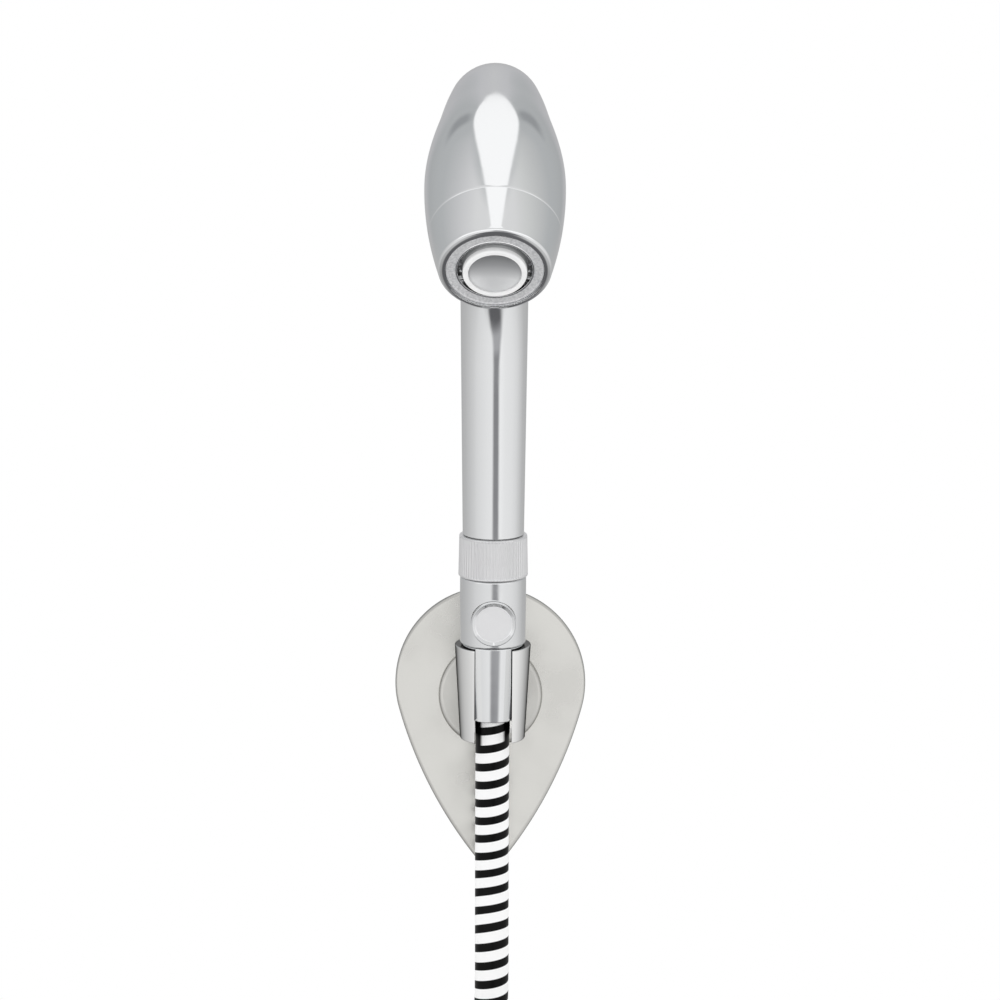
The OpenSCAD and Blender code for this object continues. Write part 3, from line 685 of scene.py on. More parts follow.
def stretched_ring(sides: int, rings: int) -> tuple[Mesh, list[Ring]]:
    """Extrudes a circle again and again into rings of vertices that wait to be set in place.

    Args:
        sides: the number of vertices in a ring.
        rings: the number of rings.

    Returns:
        The mesh and its rings in order.
    """
    bm = bmesh.new()
    first = bmesh.ops.create_circle(bm, segments=sides, radius=1.0)["verts"]
    rows = [first]
    edges = list(bm.edges)
    for _ in range(rings - 1):
        made = bmesh.ops.extrude_edge_only(bm, edges=edges)["geom"]
        edges = [g for g in made if isinstance(g, bmesh.types.BMEdge)]
        edges = [e for e in edges if len(e.link_faces) == 1]
        ahead = {}
        new = {g for g in made if isinstance(g, bmesh.types.BMVert)}
        for vert in new:
            for edge in vert.link_edges:
                other = edge.other_vert(vert)
                if other not in new:
                    ahead[other] = vert
        rows.append([ahead[v] for v in rows[-1]])
    return bm, rows


def capped(bm: Mesh) -> None:
    """Closes both open ends."""
    bmesh.ops.holes_fill(bm, edges=[edge for edge in bm.edges if edge.is_boundary], sides=0)


def cut(target: Mesh, tool: Mesh) -> Mesh:
    """Cuts one closed mesh out of another.

    Args:
        target: the mesh that is cut. It is freed.
        tool: the mesh that is taken away. It is freed.

    Returns:
        What is left.
    """
    objects = []
    for bm, name in ((target, "cut_target"), (tool, "cut_tool")):
        bmesh.ops.recalc_face_normals(bm, faces=bm.faces)
        mesh = bpy.data.meshes.new(name)
        bm.to_mesh(mesh)
        bm.free()
        made = bpy.data.objects.new(name, mesh)
        bpy.context.scene.collection.objects.link(made)
        objects.append(made)
    modifier = objects[0].modifiers.new("cut", "BOOLEAN")
    modifier.object, modifier.operation, modifier.solver = objects[1], "DIFFERENCE", "EXACT"
    bpy.context.view_layer.update()
    evaluated = objects[0].evaluated_get(bpy.context.evaluated_depsgraph_get())
    left = bmesh.new()
    left.from_mesh(evaluated.to_mesh())
    evaluated.to_mesh_clear()
    for made in objects:
        mesh = made.data
        bpy.data.objects.remove(made)
        bpy.data.meshes.remove(mesh)
    bmesh.ops.remove_doubles(left, verts=left.verts, dist=WELD)
    return left


def cylinder(radius: float, low: float, high: float, sides: int = 160) -> Mesh:
    """A plain closed cylinder along Z, to cut with."""
    return spun([(0, low), (radius, low), (radius, high), (0, high)], sides)


def off_axis(face: bmesh.types.BMFace) -> float:
    """Distance of a face's middle from the Z axis."""
    return face.calc_center_median().xy.length


def block(size: Sequence[float], centre: Sequence[float]) -> Mesh:
    """A plain closed block, to cut with.

    Args:
        size: its sides.
        centre: its middle.

    Returns:
        The block.
    """
    bm = bmesh.new()
    bmesh.ops.create_cube(bm, size=1.0)
    bmesh.ops.scale(bm, vec=Vector(size), verts=bm.verts)
    bmesh.ops.translate(bm, vec=Vector(centre), verts=bm.verts)
    return bm


def piece(
    bm: Mesh,
    name: str,
    place: Matrix,
    finish: Finish,
    body: Body,
    nodes: Sequence[str],
    sharp: float = 32.0,
    second: Finish | None = None,
) -> Piece:
    """Makes a finished piece of a mesh, and says which nodes of the frame it stands for.

    Args:
        bm: the mesh, in its own frame. It is freed.
        name: the piece's name.
        place: from its own frame to the model's.
        finish: its finish.
        body: the body it rides on.
        nodes: the frame's nodes that it stands for.
        sharp: edges over this angle, in degrees, stay sharp.
        second: the finish of the faces with material 1, where it has them.

    Returns:
        The piece.
    """
    bmesh.ops.transform(bm, matrix=place, verts=bm.verts)
    bmesh.ops.recalc_face_normals(bm, faces=bm.faces)
    mesh = bpy.data.meshes.new(name)
    bm.to_mesh(mesh)
    bm.free()
    mesh.shade_smooth()
    mesh.set_sharp_from_angle(angle=math.radians(sharp))
    made = bpy.data.objects.new(name, mesh)
    bpy.context.scene.collection.objects.link(made)
    weighted = made.modifiers.new("even_shading", "WEIGHTED_NORMAL")
    weighted.keep_sharp = True
    for worn in (finish, second) if second else (finish,):
        mesh.materials.append(worn.material())
    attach(made, body.value)
    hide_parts(*nodes)
    LOG.info("%s: %d faces for %s", name, len(mesh.polygons), ", ".join(nodes))
    return made


# ---- Handset ----


@dataclass
class HandsetSkin:
    """The handset's outer form: a torpedo head run together with a slim grip by a soft blend."""

    grip_d: float = 25.0
    grip_top_d: float = 27.6
    head_d: float = 55.2
    belly_back: float = 46.0
    crown_d: float = 36.2
    crown_back: float = 91.0
    crown_turn: float = 16.0
    lip_d: float = 43.8
    lip_round: float = 1.8
    nose_len: float = 20.0
    throat_blend: float = 12.0
    sweep_rise: float = 72.0
    sweep_r: float = 104.0
    sides: int = 128
    grip_stop: float = 7.0
    far: float = 90.0
    halvings: int = 18
    throat_tries: int = 24
    grip_rings: int = 40
    fan_rings: int = 96
    nose_rings: int = 14

    def __post_init__(self) -> None:
        """Works out the places that follow from the sizes."""
        dip = math.radians(PLACES.head_dip)
        self.back = (math.cos(dip), math.sin(dip))
        self.top = (-math.sin(dip), math.cos(dip))
        self.rim = (-PLACES.rim_reach, PLACES.grip_foot + PLACES.rim_rise)
        self.crown = self.behind(self.crown_back)
        turned = math.radians(self.crown_turn)
        self.flank_end = self.crown_back + self.crown_d / 2 * math.sin(turned)
        self.flank_foot = (self.crown_d / 2 * math.cos(turned), -math.tan(turned))
        self.grip_end = self.crown[1] - self.grip_stop
        drop = (self.head_d / 2 + self.throat_blend / 2) / math.cos(dip)
        height = self.rim[1]
        for _ in range(self.throat_tries):
            side = self.grip_top_d / 2 + self.sweep(height) + self.throat_blend / 2
            height = self.rim[1] + (PLACES.rim_reach - side) * math.tan(dip) - drop
        self.throat = (-side, height)
        self.fan_turn = 90 + PLACES.head_dip

    def behind(self, s: float) -> Point:
        """The y and z of the spray's axis at a distance s behind the rim."""
        return (self.rim[0] + s * self.back[0], self.rim[1] + s * self.back[1])

    @staticmethod
    def eased(t: float, start: float, end: float, start_slope: float, end_slope: float) -> float:
        """Runs smoothly from one value to another.

        Args:
            t: the share of the way.
            start: the first value.
            end: the last value.
            start_slope: the change per way at the first value.
            end_slope: the change per way at the last value.

        Returns:
            The value at t.
        """
        values = (2 * t**3 - 3 * t**2 + 1) * start + (3 * t**2 - 2 * t**3) * end
        return values + (t**3 - 2 * t**2 + t) * start_slope + (t**3 - t**2) * end_slope

    def head_r(self, s: float) -> float:
        """Radius of the head in front of the crown.

        Args:
            s: the distance behind the rim.

        Returns:
            The radius.
        """
        belly = self.head_d / 2
        if s < self.belly_back:
            share = (self.belly_back - s) / (self.belly_back - self.lip_round)
            return belly - (belly - self.lip_d / 2) * share**2
        length = self.flank_end - self.belly_back
        end, slope = self.flank_foot
        return self.eased((s - self.belly_back) / length, belly, end, 0.0, length * slope)

    def sweep(self, z: float) -> float:
        """How far the grip's front swells towards the head.

        Args:
            z: the height.

        Returns:
            The distance.
        """
        length = self.rim[1] - PLACES.grip_foot - self.sweep_rise
        if z < self.rim[1]:
            return max(z - self.rim[1] + length, 0) ** 2 / (2 * self.sweep_r)
        if z > self.grip_end:
            return 0.0
        span = self.grip_end - self.rim[1]
        start, slope = length**2 / (2 * self.sweep_r), length / self.sweep_r
        return self.eased((z - self.rim[1]) / span, start, 0.0, span * slope, 0.0)

    def gap(self, x: float, y: float, z: float) -> float:
        """Signed distance of a point from the blended skin.

        Args:
            x: the point's place across the handset.
            y: its place to the back.
            z: its height.

        Returns:
            The distance, below zero inside.
        """
        qy, qz = y - self.rim[0], z - self.rim[1]
        s = qy * self.back[0] + qz * self.back[1]
        if s > self.flank_end:
            head = math.hypot(x, y - self.crown[0], z - self.crown[1]) - self.crown_d / 2
        else:
            head = math.hypot(x, qy * self.top[0] + qz * self.top[1]) - self.head_r(s)
        low = min(z, self.grip_end)
        climb = (low - PLACES.grip_foot) / (self.throat[1] - PLACES.grip_foot)
        radius = (self.grip_d + (self.grip_top_d - self.grip_d) * climb) / 2
        if y < 0:
            y *= radius / (radius + self.sweep(low))
        grip = math.hypot(x, y, max(z - self.grip_end, 0)) - radius
        near = max(self.throat_blend - abs(head - grip), 0)
        return min(head, grip) - near * near / (4 * self.throat_blend)

    def crossing(self, start: Vector, way: Vector, low: float, high: float) -> float:
        """Finds where a line crosses the skin.

        Args:
            start: the line's start.
            way: its direction.
            low: a distance that lies inside.
            high: a distance that lies outside.

        Returns:
            The distance at which it crosses.
        """
        for _ in range(self.halvings):
            middle = (low + high) / 2
            if self.gap(*(start + way * middle)) < 0:
                low = middle
            else:
                high = middle
        return (low + high) / 2

    def stations(self, last: float) -> list[tuple[float, float, float, float]]:
        """Sections of the skin, from the grip's foot round the throat to the head's front.

        Args:
            last: the distance of the last one behind the rim.

        Returns:
            The middle's y and z, the section's lean in degrees and its room towards the throat.
        """
        foot, side = PLACES.grip_foot, -self.throat[0]
        climb = (self.throat[1] - foot) / self.grip_rings
        found = [(0.0, foot + climb * i, 0.0, side) for i in range(self.grip_rings)]
        for i in range(self.fan_rings + 1):
            lean = math.radians(self.fan_turn * i / self.fan_rings)
            way = Vector((0, math.cos(lean), math.sin(lean)))
            throat = Vector((0, *self.throat))
            start = throat + way * side
            near = side - self.crossing(start, -way, 0, side)
            far = side + self.crossing(start, way, 0, self.far)
            middle = (near + far) / 2
            at = throat + way * middle
            found.append((at.y, at.z, math.degrees(lean), middle))
        throat_s = sum((t - r) * b for t, r, b in zip(self.throat, self.rim, self.back))
        for i in range(1, self.nose_rings + 1):
            s = throat_s + (last - throat_s) * i / self.nose_rings
            found.append((*self.behind(s), self.fan_turn, self.far))
        return found

    def ring(self, station: tuple[float, float, float, float]) -> list[Vector]:
        """Finds the skin all round one section.

        Args:
            station: the section's middle's y and z, its lean in degrees and its room towards the throat.

        Returns:
            The points.
        """
        y, z, lean, room = station
        lean = math.radians(lean)
        middle = Vector((0, y, z))
        points = []
        for i in range(self.sides):
            w = math.tau * i / self.sides
            way = Vector((math.sin(w), math.cos(w) * math.cos(lean), math.cos(w) * math.sin(lean)))
            limit = min(self.far, -room / math.cos(w)) if math.cos(w) < -0.01 else self.far
            points.append(middle + way * self.crossing(middle, way, 0, limit))
        return points


@dataclass
class Handset:
    """Grip and head in one plated shell, with the nose shell pushed into its mouth."""

    skin: HandsetSkin
    seam_round: float = 0.24
    stub_d: float = 20.9
    stub_len: float = 8.0
    face_d: float = 37.8
    face_depth: float = 3.8
    flank_steps: int = 24
    lip_steps: int = 16

    def body(self) -> None:
        """Makes the shell from the grip's foot to the seam, with a broken edge at both ends."""
        skin, gap, stub = self.skin, self.seam_round, self.stub_d / 2
        rings = [skin.ring(station) for station in skin.stations(skin.nose_len + gap)]
        bm, rows = stretched_ring(skin.sides, len(rings) + 4)
        foot = [
            self.shrunk(rings[0], radius, rise)
            for radius, rise in ((stub, -self.stub_len), (stub, 0.0), (skin.grip_d / 2 - gap, 0.0))
        ]
        rings[0] = self.shrunk(rings[0], skin.grip_d / 2, gap)
        middle = sum(rings[-1], Vector()) / skin.sides
        drawn_in = 1 - gap / skin.head_r(skin.nose_len)
        step = Vector((0, *skin.back)) * gap
        mouth = [middle + (p - middle) * drawn_in - step for p in rings[-1]]
        for row, ring in zip(rows, [*foot, *rings, mouth]):
            for vert, point in zip(row, ring):
                vert.co = point
        capped(bm)
        piece(bm, "handset_shell", PLACES.grip, CHROME, Body.HANDSET, ["handset_body"], sharp=40)

    @staticmethod
    def shrunk(ring: Sequence[Vector], radius: float, rise: float) -> list[Vector]:
        """Draws a ring in or out about the grip's axis, and raises it.

        Args:
            ring: the points.
            radius: the radius that they get.
            rise: how far they go up.

        Returns:
            The new points.
        """
        found = []
        for p in ring:
            flat = Vector((p.x, p.y)).normalized() * radius
            found.append(Vector((flat.x, flat.y, p.z + rise)))
        return found

    def nose(self) -> None:
        """Makes the front shell of the head, with its round lip."""
        skin, gap = self.skin, self.seam_round
        start = skin.nose_len - gap
        run = [start + (skin.lip_round - start) * i / self.flank_steps for i in range(self.flank_steps + 1)]
        flank = [(skin.head_r(s), -s) for s in run]
        outer, inner = skin.lip_d / 2, self.face_d / 2
        turns = [math.radians(90 * i / self.lip_steps) for i in range(1, self.lip_steps + 1)]
        lip = [(inner + (outer - inner) * math.cos(w), -skin.lip_round * (1 - math.sin(w))) for w in turns]
        profile = [(0, -skin.nose_len), (flank[0][0] - gap, -skin.nose_len), *flank, *lip]
        profile += [(inner, -self.face_depth), (0, -self.face_depth)]
        piece(spun(profile), "nose_shell_skin", PLACES.head, CHROME, Body.HANDSET, ["nose_shell"], sharp=40)

    def build(self) -> None:
        """Makes both pieces."""
        self.body()
        self.nose()


@dataclass
class Nozzle:
    """Satin ring, white collar and grey dish in the nose."""

    face_d: float = 37.7
    face_bore_d: float = 28.7
    face_sink: float = 0.6
    face_h: float = 3.2
    edge_w: float = 0.7
    edge_rise: float = 0.25
    edge_slope: float = 0.2
    polished: float = 1.1
    collar_d: float = 24.7
    collar_out: float = 1.6
    dish_d: float = 20.4
    dish_depth: float = 2.2
    insert_h: float = 3.0
    insert_d: float = 36.6
    outlet_count: int = 24
    outlet_d: float = 1.3
    outlet_depth: float = 1.2
    outlet_sides: int = 16
    groove_edge: float = 0.5
    dish_play: float = 0.05
    dish_sink: float = 0.6
    dish_rim: float = 0.5
    dish_edge: float = 0.15
    dish_steps: int = 24

    @property
    def floor(self) -> float:
        """Height of the groove's floor."""
        return -self.face_sink - self.face_h

    def ring(self) -> None:
        """Makes the face ring: a flat band between two raised edges, polished round its bore."""
        outer, inner, top = self.face_d / 2, self.face_bore_d / 2, -self.face_sink
        low, broken, round_over = top - self.edge_rise, 0.08, 0.25
        corners = [
            (inner, self.floor, 0),
            (inner, top, round_over),
            (inner + self.edge_w, top, broken),
            (inner + self.edge_w + self.edge_slope, low, broken),
            (outer - self.edge_w - self.edge_slope, low, broken),
            (outer - self.edge_w, top, broken),
            (outer, top, round_over),
            (outer, self.floor, 0),
        ]
        bm = spun(rounded(corners, 4))
        for face in bm.faces:
            face.material_index = int(off_axis(face) < inner + self.polished)
        piece(bm, "face_ring_band", PLACES.head, SATIN, Body.HANDSET, ["face_ring"], second=CHROME)

    def collar(self) -> None:
        """Makes the white collar on its flange, with the outlets in the groove."""
        outer, inner = self.collar_d / 2, self.dish_d / 2
        low = self.floor - self.insert_h
        corners = [
            (0, low, 0),
            (self.insert_d / 2, low, 0.2),
            (self.insert_d / 2, self.floor, 0.2),
            (outer, self.floor, 0.3),
            (outer, -self.face_sink, 0),
            (outer, self.collar_out, 0.8),
            (inner, self.collar_out, 0.35),
            (inner, self.floor, 0),
            (0, self.floor, 0),
        ]
        bm = spun(rounded(corners, 6))
        ring_r = (self.face_bore_d + self.collar_d) / 4
        for i in range(self.outlet_count):
            low, high = self.floor - self.outlet_depth, self.floor + 1
            hole = cylinder(self.outlet_d / 2, low, high, self.outlet_sides)
            at = turn(360 * i / self.outlet_count, "Z") @ shift(ring_r)
            bmesh.ops.transform(hole, matrix=at, verts=hole.verts)
            bm = cut(bm, hole)
        # Faces sunk in the groove get the painted groove shade.
        for face in bm.faces:
            sunk = face.calc_center_median().z < -self.face_sink
            face.material_index = int(sunk and off_axis(face) > inner + self.groove_edge)
        piece(bm, "collar_ring", PLACES.head, ACETAL, Body.HANDSET, ["nozzle_collar"], second=GROOVE_SHADE)

    def dish(self) -> None:
        """Makes the hollowed dish in the collar."""
        radius, top = self.dish_d / 2 - self.dish_play, self.collar_out - self.dish_sink
        hollow = radius - self.dish_rim
        ball = (hollow**2 + self.dish_depth**2) / (2 * self.dish_depth)
        sweep = math.asin(hollow / ball)
        turns = [sweep * i / self.dish_steps for i in range(self.dish_steps + 1)]
        arc = [(ball * math.sin(w), top - self.dish_depth + ball - ball * math.cos(w)) for w in turns]
        rim = [(radius - self.dish_edge, top), (radius, top - self.dish_edge)]
        profile = [*arc, *rim, (radius, self.floor), (0, self.floor)]
        piece(spun(profile), "dish_face", PLACES.head, DISH, Body.HANDSET, ["spray_dish"])

    def build(self) -> None:
        """Makes the three pieces."""
        self.ring()
        self.collar()
        self.dish()


@dataclass
class Coupling:
    """Ribbed nut between the grip and the valve."""

    foot_z: float = 48.9
    length: float = 16.8
    nut_d: float = 28.4
    top_d: float = 27.7
    bore_d: float = 21.0
    neck_bore_d: float = 17.4
    lip_h: float = 2.3
    rib_count: int = 64
    rib_depth: float = 0.26
    rib_flat: float = 1.6
    rib_facets: int = 8
    band: float = 0.6
    band_slope: float = 0.4

    def build(self) -> None:
        """Spins a nut and draws its flank in between the ribs, but for a plain band at each end."""
        low, high = self.foot_z, self.foot_z + self.length
        outer, top, bore, neck = (d / 2 for d in (self.nut_d, self.top_d, self.bore_d, self.neck_bore_d))
        ends = (self.band, self.band + self.band_slope)
        levels = (*ends, self.length - ends[1], self.length - ends[0])
        flank = [(outer + (top - outer) * level / self.length, low + level, 0) for level in levels]
        corners = [(neck, low, 0), (outer, low, 0.35), *flank, (top, high, 0.35), (bore, high, 0.2)]
        corners += [(bore, low + self.lip_h, 0), (neck, low + self.lip_h, 0)]
        bm = spun(rounded(corners, 5), steps=self.rib_count * self.rib_facets)
        for vert in bm.verts:
            level = vert.co.z - low
            radius, middle = vert.co.xy.length, (ends[0] + ends[1]) / 2
            if radius < bore + 1 or not middle < level < self.length - middle:
                continue
            wave = math.cos(math.atan2(vert.co.y, vert.co.x) * self.rib_count) * self.rib_flat
            vert.co.xy *= 1 - self.rib_depth * (0.5 - 0.5 * max(-1.0, min(1.0, wave))) / radius
        piece(bm, "ribbed_nut", PLACES.handset, RIB_CHROME, Body.COUPLING_NUT, ["coupling_nut"], sharp=50)


@dataclass
class Valve:
    """Valve body with its two buttons."""

    foot_z: float = 20.5
    length: float = 28.1
    body_d: float = 27.0
    edge: float = 0.8
    neck_d: float = 17.2
    neck_top: float = 56.2
    spigot_z: float = 9.5
    thread_d: float = 20.9
    button_d: float = 18.2
    button_front: float = 16.0
    cap_h: float = 3.0
    press_depth: float = 0.9
    travel: float = 4.0
    gap: float = 0.1
    press_rim: float = 0.4
    press_slope: float = 1.3
    rear_gap: float = 0.3
    button_sides: int = 192
    screw_hole_d: float = 2.7
    countersink_d: float = 5.4
    countersink_h: float = 1.6

    @property
    def guide_depth(self) -> float:
        """Distance of a button guide's floor from the valve's axis."""
        return self.button_front - self.cap_h - self.travel - self.gap

    def body(self) -> None:
        """Makes the turned body with its neck and thread, and the round guides of the buttons."""
        low, high, outer = self.foot_z, self.foot_z + self.length, self.body_d / 2
        corners = [
            (0, self.spigot_z, 0),
            (self.thread_d / 2, self.spigot_z, 0.4),
            (self.thread_d / 2, low, 0),
            (outer, low, self.edge),
            (outer, high, self.edge),
            (self.neck_d / 2, high, 0),
            (self.neck_d / 2, self.neck_top, 0.3),
            (0, self.neck_top, 0),
        ]
        bm = spun(rounded(corners, 6), steps=256)
        for side in (1, -1):
            hole = cylinder(self.button_d / 2 + self.gap, self.guide_depth, self.body_d, self.button_sides)
            at = shift(z=PLACES.button_height) @ turn(90 * side, "X")
            bmesh.ops.transform(hole, matrix=at, verts=hole.verts)
            bm = cut(bm, hole)
        piece(bm, "valve_shell", PLACES.handset, VALVE_CHROME, Body.HANDSET, ["valve_body"])

    def front_button(self) -> None:
        """Makes the front button, with a shallow finger dish in its face."""
        radius, foot, front = self.button_d / 2, self.button_front - self.cap_h, self.button_front
        press = radius - self.press_rim
        floor = press - self.press_depth * self.press_slope
        corners = [
            (0, front - self.press_depth, 0),
            (floor, front - self.press_depth, 0.6),
            (press, front, 0.12),
            (radius, front, 0.2),
            (radius, foot, 0.2),
            (0, foot, 0),
        ]
        bm = spun(rounded(corners, 6), steps=self.button_sides)
        for face in bm.faces:
            face.material_index = int(off_axis(face) > floor)
        piece(bm, "front_button", PLACES.valve, BUTTON_CHROME, Body.BUTTON, ["push_button"], second=CHROME)

    def back_button(self) -> None:
        """Makes the rear button, with the screw's countersink."""
        radius, hole, sink = self.button_d / 2, self.screw_hole_d / 2, self.countersink_d / 2
        near = -self.guide_depth - self.rear_gap
        far = near - self.cap_h
        corners = [
            (hole, near, 0),
            (radius, near, 0.3),
            (radius, far, 0.5),
            (sink, far, 0.15),
            (sink, far + self.countersink_h, 0),
            (hole, far + self.countersink_h, 0),
        ]
        bm = spun(rounded(corners, 6))
        piece(bm, "back_button", PLACES.valve, BUTTON_CHROME, Body.BUTTON, ["rear_button"])

    def build(self) -> None:
        """Makes the body and the buttons."""
        self.body()
        self.front_button()
        self.back_button()


@dataclass
class ConeNut:
    """The hose's cone nut, which sits in the socket."""

    foot_z: float = -11.5
    top_z: float = 20.3
    foot_d: float = 19.7
    top_d: float = 25.2
    bore_d: float = 15.0
    bore_top: float = 3.1

    def build(self) -> None:
        """Turns a cone, open at its foot for the hose."""
        corners = [
            (0, self.bore_top, 0),
            (self.bore_d / 2, self.bore_top, 0),
            (self.bore_d / 2, self.foot_z, 0.2),
            (self.foot_d / 2, self.foot_z, 0.5),
            (self.top_d / 2, self.top_z, 0.5),
            (0, self.top_z, 0),
        ]
        piece(spun(rounded(corners)), "cone_nut_skin", PLACES.handset, CHROME, Body.HANDSET, ["cone_nut"])


# ---- Holder ----


@dataclass
class Holder:
    """Round boss, arm and slotted socket."""

    cover_front: float = 7.0
    boss_d: float = 44.0
    boss_h: float = 2.2
    boss_edge: float = 2.1
    bolt_d: float = 8.0
    arm_d: float = 19.0
    arm_front: float = 24.0
    socket_len: float = 39.6
    socket_top_d: float = 31.2
    socket_foot_d: float = 26.8
    bore_top_d: float = 25.8
    bore_foot_d: float = 18.7
    slot_w: float = 15.4
    edge: float = 0.5
    widening: float = 1.2
    reach: float = 60.0

    def boss(self) -> None:
        """Makes the low round boss with a quarter-round edge."""
        front = self.cover_front + self.boss_h
        corners = [
            (self.bolt_d / 2, self.cover_front, 0),
            (self.boss_d / 2, self.cover_front, 0),
            (self.boss_d / 2, front, self.boss_edge),
            (self.bolt_d / 2, front, 0),
        ]
        piece(spun(rounded(corners, 10)), "boss_skin", PLACES.wall, BOSS, Body.BRACKET, ["boss_disc"])

    def arm(self) -> None:
        """Makes the round arm between the boss and the socket."""
        foot = self.cover_front + self.boss_h
        corners = [
            (self.bolt_d / 2, foot, 0),
            (self.arm_d / 2, foot, 0.4),
            (self.arm_d / 2, self.arm_front, 0.4),
            (self.bolt_d / 2, self.arm_front, 0),
        ]
        piece(spun(rounded(corners)), "arm_skin", PLACES.wall, HOLDER_CHROME, Body.BRACKET, ["socket_arm"])

    def socket(self) -> None:
        """Makes the cone, slotted at its front."""
        half = self.socket_len / 2
        corners = [
            (self.bore_foot_d / 2, -half, 0),
            (self.socket_foot_d / 2, -half, self.edge),
            (self.socket_top_d / 2, half, self.edge),
            (self.bore_top_d / 2, half, 0),
        ]
        bm = spun(rounded(corners), steps=256)
        slot = block((self.slot_w, self.socket_top_d, self.socket_len + 4), (0, -self.socket_top_d / 2, 0))
        bm = cut(bm, slot)
        piece(bm, "socket_cone", PLACES.handset, HOLDER_CHROME, Body.BRACKET, ["socket"])

    def stub(self) -> None:
        """Makes the socket's round stub, from the arm into the cone's back, but for the cone's inside."""
        depth, radius = PLACES.arm_reach - self.socket_foot_d / 4, self.arm_d / 2
        corners = [(0, self.arm_front, 0), (radius, self.arm_front, 0.4), (radius, depth, 0), (0, depth, 0)]
        bm = spun(rounded(corners))
        low, high = self.bore_foot_d / 2 - self.widening, self.bore_top_d / 2 + self.widening
        inside = spun([(0, -self.reach), (low, -self.reach), (high, self.reach), (0, self.reach)])
        to_wall = PLACES.wall.inverted() @ PLACES.handset
        bmesh.ops.transform(inside, matrix=to_wall, verts=inside.verts)
        bm = cut(bm, inside)
        piece(bm, "socket_stub", PLACES.wall, HOLDER_CHROME, Body.BRACKET, ["socket"])

    def build(self) -> None:
        """Makes the four pieces."""
        self.boss()
        self.arm()
        self.socket()
        self.stub()


@dataclass
class WallPlate:
    """Teardrop cover of four arcs: round top, two bowed flanks and tip."""

    plate_r: float = 40.2
    plate_rise: float = 5.2
    tip_r: float = 8.6
    tip_drop: float = 68.2
    flank_r: float = 180.0
    thickness: float = 7.0
    wall: float = 1.6
    edge: float = 1.5
    edge_steps: int = 6
    top_steps: int = 120
    flank_steps: int = 40
    tip_steps: int = 48

    def outline(self, inset: float) -> list[Point]:
        """Draws the teardrop, or a smaller one inside it.

        Args:
            inset: how far inside the full one it lies.

        Returns:
            Its points.
        """
        tip_z = self.plate_rise - self.tip_drop
        top_arm, tip_arm = self.flank_r - self.plate_r, self.flank_r - self.tip_r
        flank_z = (self.plate_rise**2 - tip_z**2 - top_arm**2 + tip_arm**2) / (2 * self.tip_drop)
        flank_x = math.sqrt(top_arm**2 - (flank_z - self.plate_rise) ** 2)
        top_turn = math.degrees(math.atan2(self.plate_rise - flank_z, flank_x))
        tip_turn = math.degrees(math.atan2(tip_z - flank_z, flank_x))
        arcs = [
            ((0.0, self.plate_rise), self.plate_r, top_turn, 180 - top_turn, self.top_steps),
            ((flank_x, flank_z), self.flank_r, 180 - top_turn, 180 - tip_turn, self.flank_steps),
            ((0.0, tip_z), self.tip_r, 180 - tip_turn, 360 + tip_turn, self.tip_steps),
            ((-flank_x, flank_z), self.flank_r, 360 + tip_turn, 360 + top_turn, self.flank_steps),
        ]
        points = []
        for (x, z), radius, start, end, steps in arcs:
            for i in range(steps):
                w = math.radians(start + (end - start) * i / steps)
                points.append((x + (radius - inset) * math.cos(w), z + (radius - inset) * math.sin(w)))
        return points

    def build(self) -> None:
        """Stretches the outline from the hollow round the back rim and the front edge to the flat face."""
        levels = [(self.wall, self.thickness - self.wall), (self.wall, 0.0), (0.0, 0.0)]
        for i in range(self.edge_steps + 1):
            w = math.radians(90 * i / self.edge_steps)
            levels.append((self.edge * (1 - math.cos(w)), self.thickness - self.edge * (1 - math.sin(w))))
        outlines = [self.outline(inset) for inset, _ in levels]
        bm, rows = stretched_ring(len(outlines[0]), len(levels))
        for row, points, (_, height) in zip(rows, outlines, levels):
            for vert, (x, y) in zip(row, points):
                vert.co = (x, y, height)
        capped(bm)
        piece(bm, "cover_skin", PLACES.wall, PLATE, Body.BRACKET, ["cover_plate"])


# ---- Hose ----


